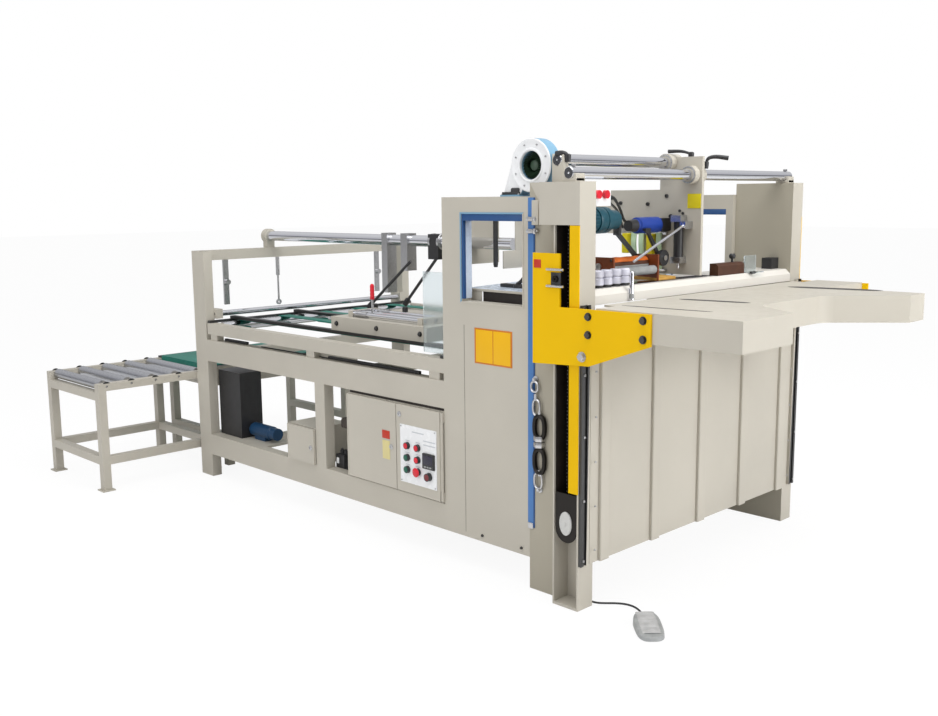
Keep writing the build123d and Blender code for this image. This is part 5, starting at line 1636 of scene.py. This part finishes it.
@dataclass
class ServiceDetail:
    """Dark parts inside the frame: valve block, ribbed duct and the strips under the bed rails."""

    post_face: float = -1.424
    cabinet_face: float = -1.254
    beam_inner: float = 0.063
    beam_top: float = 0.708

    def duct(self) -> None:
        """Ribbed duct from the middle post to the cabinet.

        Its section is a rounded rectangle whose half height grows by r cos(k x)^8 at the ribs.
        """
        run = np.linspace(self.post_face, self.cabinet_face, 120)[:, None]
        angle = np.linspace(0, math.tau, 28, endpoint=False)[None, :]
        swell = 0.0045 * np.cos(run * 190) ** 8
        y = 0.130 + squared(np.cos(angle), 0.5) * (0.026 + swell)
        z = 0.412 + squared(np.sin(angle), 0.5) * (0.020 + swell)
        Form("ribbed_duct", DUCT_BROWN, sharp=50).grid(xyz(run, y, z), wrap_columns=True).build()

    def build(self) -> None:
        """Make the duct, the valve block with its fittings, the strips and the painted shadow over the
        cabinet.
        """
        self.duct()
        valve = Form("valve_block", BLACK_PLASTIC)
        valve.pad((-1.392, self.beam_inner + 0.026, 0.243), (0.060, 0.050, 0.074), 0.003)
        valve.turn([(-1.404, self.beam_inner + 0.026, 0.280), (-1.379, self.beam_inner + 0.026, 0.280)],
                   (0, 0, 1),
                   [(-0.001, 0.010), (0.014, 0.010), (0.014, 0.006), (0.022, 0.006), (0.022, 0)], 18)
        valve.build()
        tag = Form("valve_block_cap", PANEL_WHITE)
        tag.pad((-1.404, self.beam_inner - 0.0005, 0.252), (0.016, 0.003, 0.026), 0.001)
        tag.build()
        strips = Form("bed_side_strips", BLACK_PLASTIC)
        z = self.beam_top
        strips.pad((-2.180, 0.050, z + 0.007), (0.200, 0.014, 0.013), 0.002)
        strips.pad((-1.130, 0.050, z + 0.007), (0.600, 0.014, 0.013), 0.002)
        strips.pad((-1.690, 0.050, z + 0.0025), (0.540, 0.010, 0.004), 0.001)
        strips.both_sides().build()
        # Painted shadow: a near-black sheet in the gap between the cabinet's top and the beam.
        gap = Form("cabinet_gap_shadow", PAINTED_SHADE_DARK)
        gap.pad((-0.954, 0.034, 0.5940), (0.590, 0.030, 0.0105), 0.001)
        gap.build()


@dataclass
class FootSwitch:
    """Cast foot switch with a ribbed pedal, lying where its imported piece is."""

    centre: Point = (0.320, 0.003, 0.0)
    along: tuple[float, float] = (0.72, -0.69)
    size: tuple[float, float, float] = (0.176, 0.092, 0.034)
    share: float = 0.985

    def axes(self) -> np.ndarray:
        """Rows are the switch's own length, width and height directions.

        Returns:
            The three directions, as rows.
        """
        x, y = self.along
        way = np.array([x, y, 0]) / math.hypot(x, y)
        return np.array([way, np.cross((0, 0, 1), way), (0, 0, 1)])

    def shell(self) -> np.ndarray:
        """Rounded, sloping body: an oval whose height falls towards its toe.

        P(a, h): x = f L/2 c(a) k(h), y = f W/2 s(a) k(h), z = h H (0.70 - 0.30 x / (L/2)), with c and
        s of a superellipse, k shrinking near the top and f the share of the length and width in use.

        Returns:
            Grid of points in the switch's own directions.
        """
        a = np.linspace(0, math.tau, 56, endpoint=False)[None, :]
        c, s = squared(np.cos(a), 0.62), squared(np.sin(a), 0.62)
        level = np.array([0, 0, 0.12, 0.7, 0.9, 0.98, 1.0, 1.0])[:, None]
        shrink = np.array([0, 0.97, 1.0, 0.985, 0.96, 0.92, 0.86, 0.0])[:, None]
        length, width, height = self.size
        x, y = length / 2 * self.share * c * shrink, width / 2 * self.share * s * shrink
        slope = 0.70 - 0.30 * (x / (length / 2))
        return np.stack([x, y, level * height * slope], -1)

    def place(self, points: np.ndarray) -> np.ndarray:
        """Points in the switch's own directions, put where it lies."""
        return points @ self.axes() + np.array(self.centre)

    def build(self) -> None:
        """Make the body, and the pedal with its ribs."""
        body = Form("foot_switch_body", GREY_CAST)
        body.grid(self.place(self.shell()), wrap_columns=True)
        body.build(replaces=("foot_switch",))
        pedal = Form("foot_switch_pedal", LIGHT_GREY)
        s = np.linspace(-0.078, 0.060, 40)[:, None]
        t = np.linspace(-1, 1, 12)[None, :]
        ribs = 0.0007 * np.clip(3 * np.sin(s * 760), -1, 1)
        top = self.size[2] * (0.70 - 0.30 * s / (self.size[0] / 2))
        width = 0.034 * (1 - 0.10 * (s / 0.08) ** 2)
        crown = 0.0022 * (1 - t ** 4)
        pedal.grid(self.place(xyz(s, width * t, top + crown + ribs * (1 - t ** 6) - 0.0006)))
        pedal.build()


@dataclass
class FootSwitchCord:
    """Cord from the left column's gland to the foot switch."""

    radius: float = 0.0035
    floor: float = 0.0038
    length: float = 0.477

    def route(self) -> Places:
        """Points of the route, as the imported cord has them.

        Returns:
            The points, from the gland on.
        """
        f = self.floor
        return [(-0.100, 0.064, 0.070), (-0.098, 0.094, 0.065), (-0.090, 0.114, 0.038),
                (-0.068, 0.112, 0.012),
                (-0.038, 0.092, f), (-0.006, 0.070, f), (0.028, 0.058, f), (0.060, 0.062, f),
                (0.084, 0.082, f),
                (0.108, 0.106, f), (0.138, 0.124, f), (0.172, 0.126, f), (0.208, 0.110, f),
                (0.238, 0.084, f + 0.001), (0.258, 0.065, f + 0.003)]

    def build(self) -> None:
        data = bpy.data.curves.new("foot_switch_lead", "CURVE")
        data.dimensions = "3D"
        data.bevel_depth = self.radius
        data.bevel_resolution = 4
        data.resolution_u = 10
        data.use_fill_caps = True
        line = data.splines.new("NURBS")
        places = self.route()
        line.points.add(len(places) - 1)
        for point, place in zip(line.points, places):
            point.co = (*place, 1)
        line.order_u = 3
        line.use_endpoint_u = True
        data.materials.append(BLACK_RUBBER.material())
        cord = bpy.data.objects.new("foot_switch_lead", data)
        bpy.context.scene.collection.objects.link(cord)
        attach(cord, MAIN)
        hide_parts("foot_switch_cord")
        log.info("foot_switch_lead: cord")


# Studio

@dataclass
class Studio:
    """Plain pale floor, soft light and the photograph's camera."""

    camera_place: Point = (2.174, -2.624, 1.400)
    down: float = 8.875
    turn: float = 44.443
    roll: float = 0.528
    focal_pixels: float = 1024.2
    picture_width: float = 938.0
    sensor: float = 36.0
    sky_strength: float = 0.75
    sky_band: tuple[tuple[float, float], ...] = ((0.47, 0.10), (0.54, 0.10), (0.57, 0.62))
    floor_colour: Colour = (0.86, 0.86, 0.86)
    floor_glow: float = 1.03
    floor_share: float = 0.88

    def camera(self) -> None:
        """Place the camera.

        Its forward axis is (-cos d cos t, cos d sin t, -sin d) for down d and turn t; right and
        down are the two cross products, turned about forward by the roll.
        """
        down, turn, roll = (math.radians(angle) for angle in (self.down, self.turn, self.roll))
        forward = Vector((-math.cos(down) * math.cos(turn), math.cos(down) * math.sin(turn),
                          -math.sin(down)))
        level = forward.cross(Vector((0, 0, 1))).normalized()
        below = forward.cross(level)
        right = math.cos(roll) * level + math.sin(roll) * below
        up = math.sin(roll) * level - math.cos(roll) * below
        data = bpy.data.cameras.new("camera")
        data.sensor_fit = "HORIZONTAL"
        data.sensor_width = self.sensor
        data.lens = self.focal_pixels / self.picture_width * self.sensor
        camera = bpy.data.objects.new("camera", data)
        axes = Matrix((right, up, -forward)).transposed().to_4x4()
        camera.matrix_world = Matrix.Translation(self.camera_place) @ axes
        bpy.context.scene.collection.objects.link(camera)
        bpy.context.scene.camera = camera

    def world(self) -> None:
        """White to the camera and through clear sheet; soft light with a dark band for all else."""
        world = bpy.data.worlds.new("studio")
        bpy.context.scene.world = world
        world.use_nodes = True
        tree = world.node_tree
        tree.nodes.clear()
        output = tree.nodes.new("ShaderNodeOutputWorld")
        seen = tree.nodes.new("ShaderNodeBackground")
        seen.inputs[0].default_value = (1, 1, 1, 1)
        light = tree.nodes.new("ShaderNodeBackground")
        light.inputs[1].default_value = self.sky_strength
        place = tree.nodes.new("ShaderNodeTexCoord")
        split = tree.nodes.new("ShaderNodeSeparateXYZ")
        ramp = tree.nodes.new("ShaderNodeValToRGB")
        ramp.color_ramp.elements[0].position = 0.42
        ramp.color_ramp.elements[0].color = (0.34, 0.34, 0.36, 1)
        ramp.color_ramp.elements[1].position = 0.85
        ramp.color_ramp.elements[1].color = (1, 1, 1, 1)
        for height, tone in self.sky_band:
            ramp.color_ramp.elements.new(height).color = (tone, tone, tone * 1.06, 1)
        shift = tree.nodes.new("ShaderNodeMapRange")
        shift.inputs["From Min"].default_value = -1
        path = tree.nodes.new("ShaderNodeLightPath")
        mix = tree.nodes.new("ShaderNodeMixShader")
        tree.links.new(place.outputs["Generated"], split.inputs[0])
        tree.links.new(split.outputs[2], shift.inputs["Value"])
        tree.links.new(shift.outputs[0], ramp.inputs[0])
        tree.links.new(ramp.outputs[0], light.inputs[0])
        either = tree.nodes.new("ShaderNodeMath")
        either.operation = "MAXIMUM"
        tree.links.new(path.outputs["Is Camera Ray"], either.inputs[0])
        tree.links.new(path.outputs["Is Transmission Ray"], either.inputs[1])
        tree.links.new(either.outputs[0], mix.inputs[0])
        tree.links.new(light.outputs[0], mix.inputs[1])
        tree.links.new(seen.outputs[0], mix.inputs[2])
        tree.links.new(mix.outputs[0], output.inputs[0])

    def floor(self) -> None:
        """A pale floor that stays near white and keeps the machine's shadow."""
        sheet = NodeSheet("floor")
        sheet.shader.inputs["Base Color"].default_value = (*self.floor_colour, 1)
        sheet.shader.inputs["Roughness"].default_value = 0.9
        glow = sheet.add("ShaderNodeEmission", Strength=self.floor_glow)
        path = sheet.add("ShaderNodeLightPath")
        share = sheet.add("ShaderNodeMath", operation="MULTIPLY")
        share.inputs[1].default_value = self.floor_share
        seen = sheet.add("ShaderNodeMath", operation="MAXIMUM")
        mix = sheet.add("ShaderNodeMixShader")
        sheet.join(path.outputs["Is Camera Ray"], seen.inputs[0])
        sheet.join(path.outputs["Is Transmission Ray"], seen.inputs[1])
        sheet.join(seen.outputs[0], share.inputs[0])
        sheet.join(share.outputs[0], mix.inputs[0])
        sheet.join(sheet.shader.outputs[0], mix.inputs[1])
        sheet.join(glow.outputs[0], mix.inputs[2])
        sheet.join(mix.outputs[0], sheet.output.inputs["Surface"])
        bpy.ops.mesh.primitive_plane_add(size=80, location=(-1, 0.7, -0.001))
        floor = bpy.context.object
        floor.name = "floor"
        floor.data.materials.append(sheet.material)

    def lamp(self, name: str, place: Point, aim: Point, size: float, power: float) -> None:
        """A square soft lamp.

        Args:
            name: Its name.
            place: Where it hangs.
            aim: The point it faces.
            size: Its side in metres.
            power: Its power in watts.
        """
        data = bpy.data.lights.new(name, "AREA")
        data.size = size
        data.energy = power
        lamp = bpy.data.objects.new(name, data)
        direction = Vector(aim) - Vector(place)
        turn = direction.to_track_quat("-Z", "Y").to_matrix().to_4x4()
        lamp.matrix_world = Matrix.Translation(place) @ turn
        bpy.context.scene.collection.objects.link(lamp)

    def build(self) -> None:
        """Set camera, world, floor and lamps."""
        self.camera()
        self.world()
        self.floor()
        middle = (-0.8, 0.5, 0.7)
        self.lamp("top lamp", (0.8, -0.2, 4.6), middle, 3.2, 120)
        self.lamp("feed side lamp", (4.8, 1.6, 2.2), (0, 0.7, 0.8), 2.6, 150)
        self.lamp("cabinet side lamp", (-1.6, -4.6, 2.4), middle, 3.0, 55)
        bpy.context.scene.view_settings.view_transform = "Standard"


def main() -> None:
    """Build the studio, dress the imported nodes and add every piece."""
    logging.basicConfig(level=logging.INFO, format="%(message)s")
    Studio().build()
    FootSwitchCord().build()
    FootSwitch().build()
    dress_nodes()
    for patch in PATCHES:
        patch.dress()
    for part in (LiftChains(), LiftCarriages(), ColumnFittings(), WindowDetail(), BlowerDetail(),
                 HeadShafts(), HeadDetail(), FoldingMotorDetail(), ControlPanelDetail(), DoorDetail(),
                 PressDetail(), TableDetail(), GuardDetail(), StandDetail(), FrameBolts(),
                 ServiceDetail()):
        part.build()


if __name__ == "__main__":
    main()
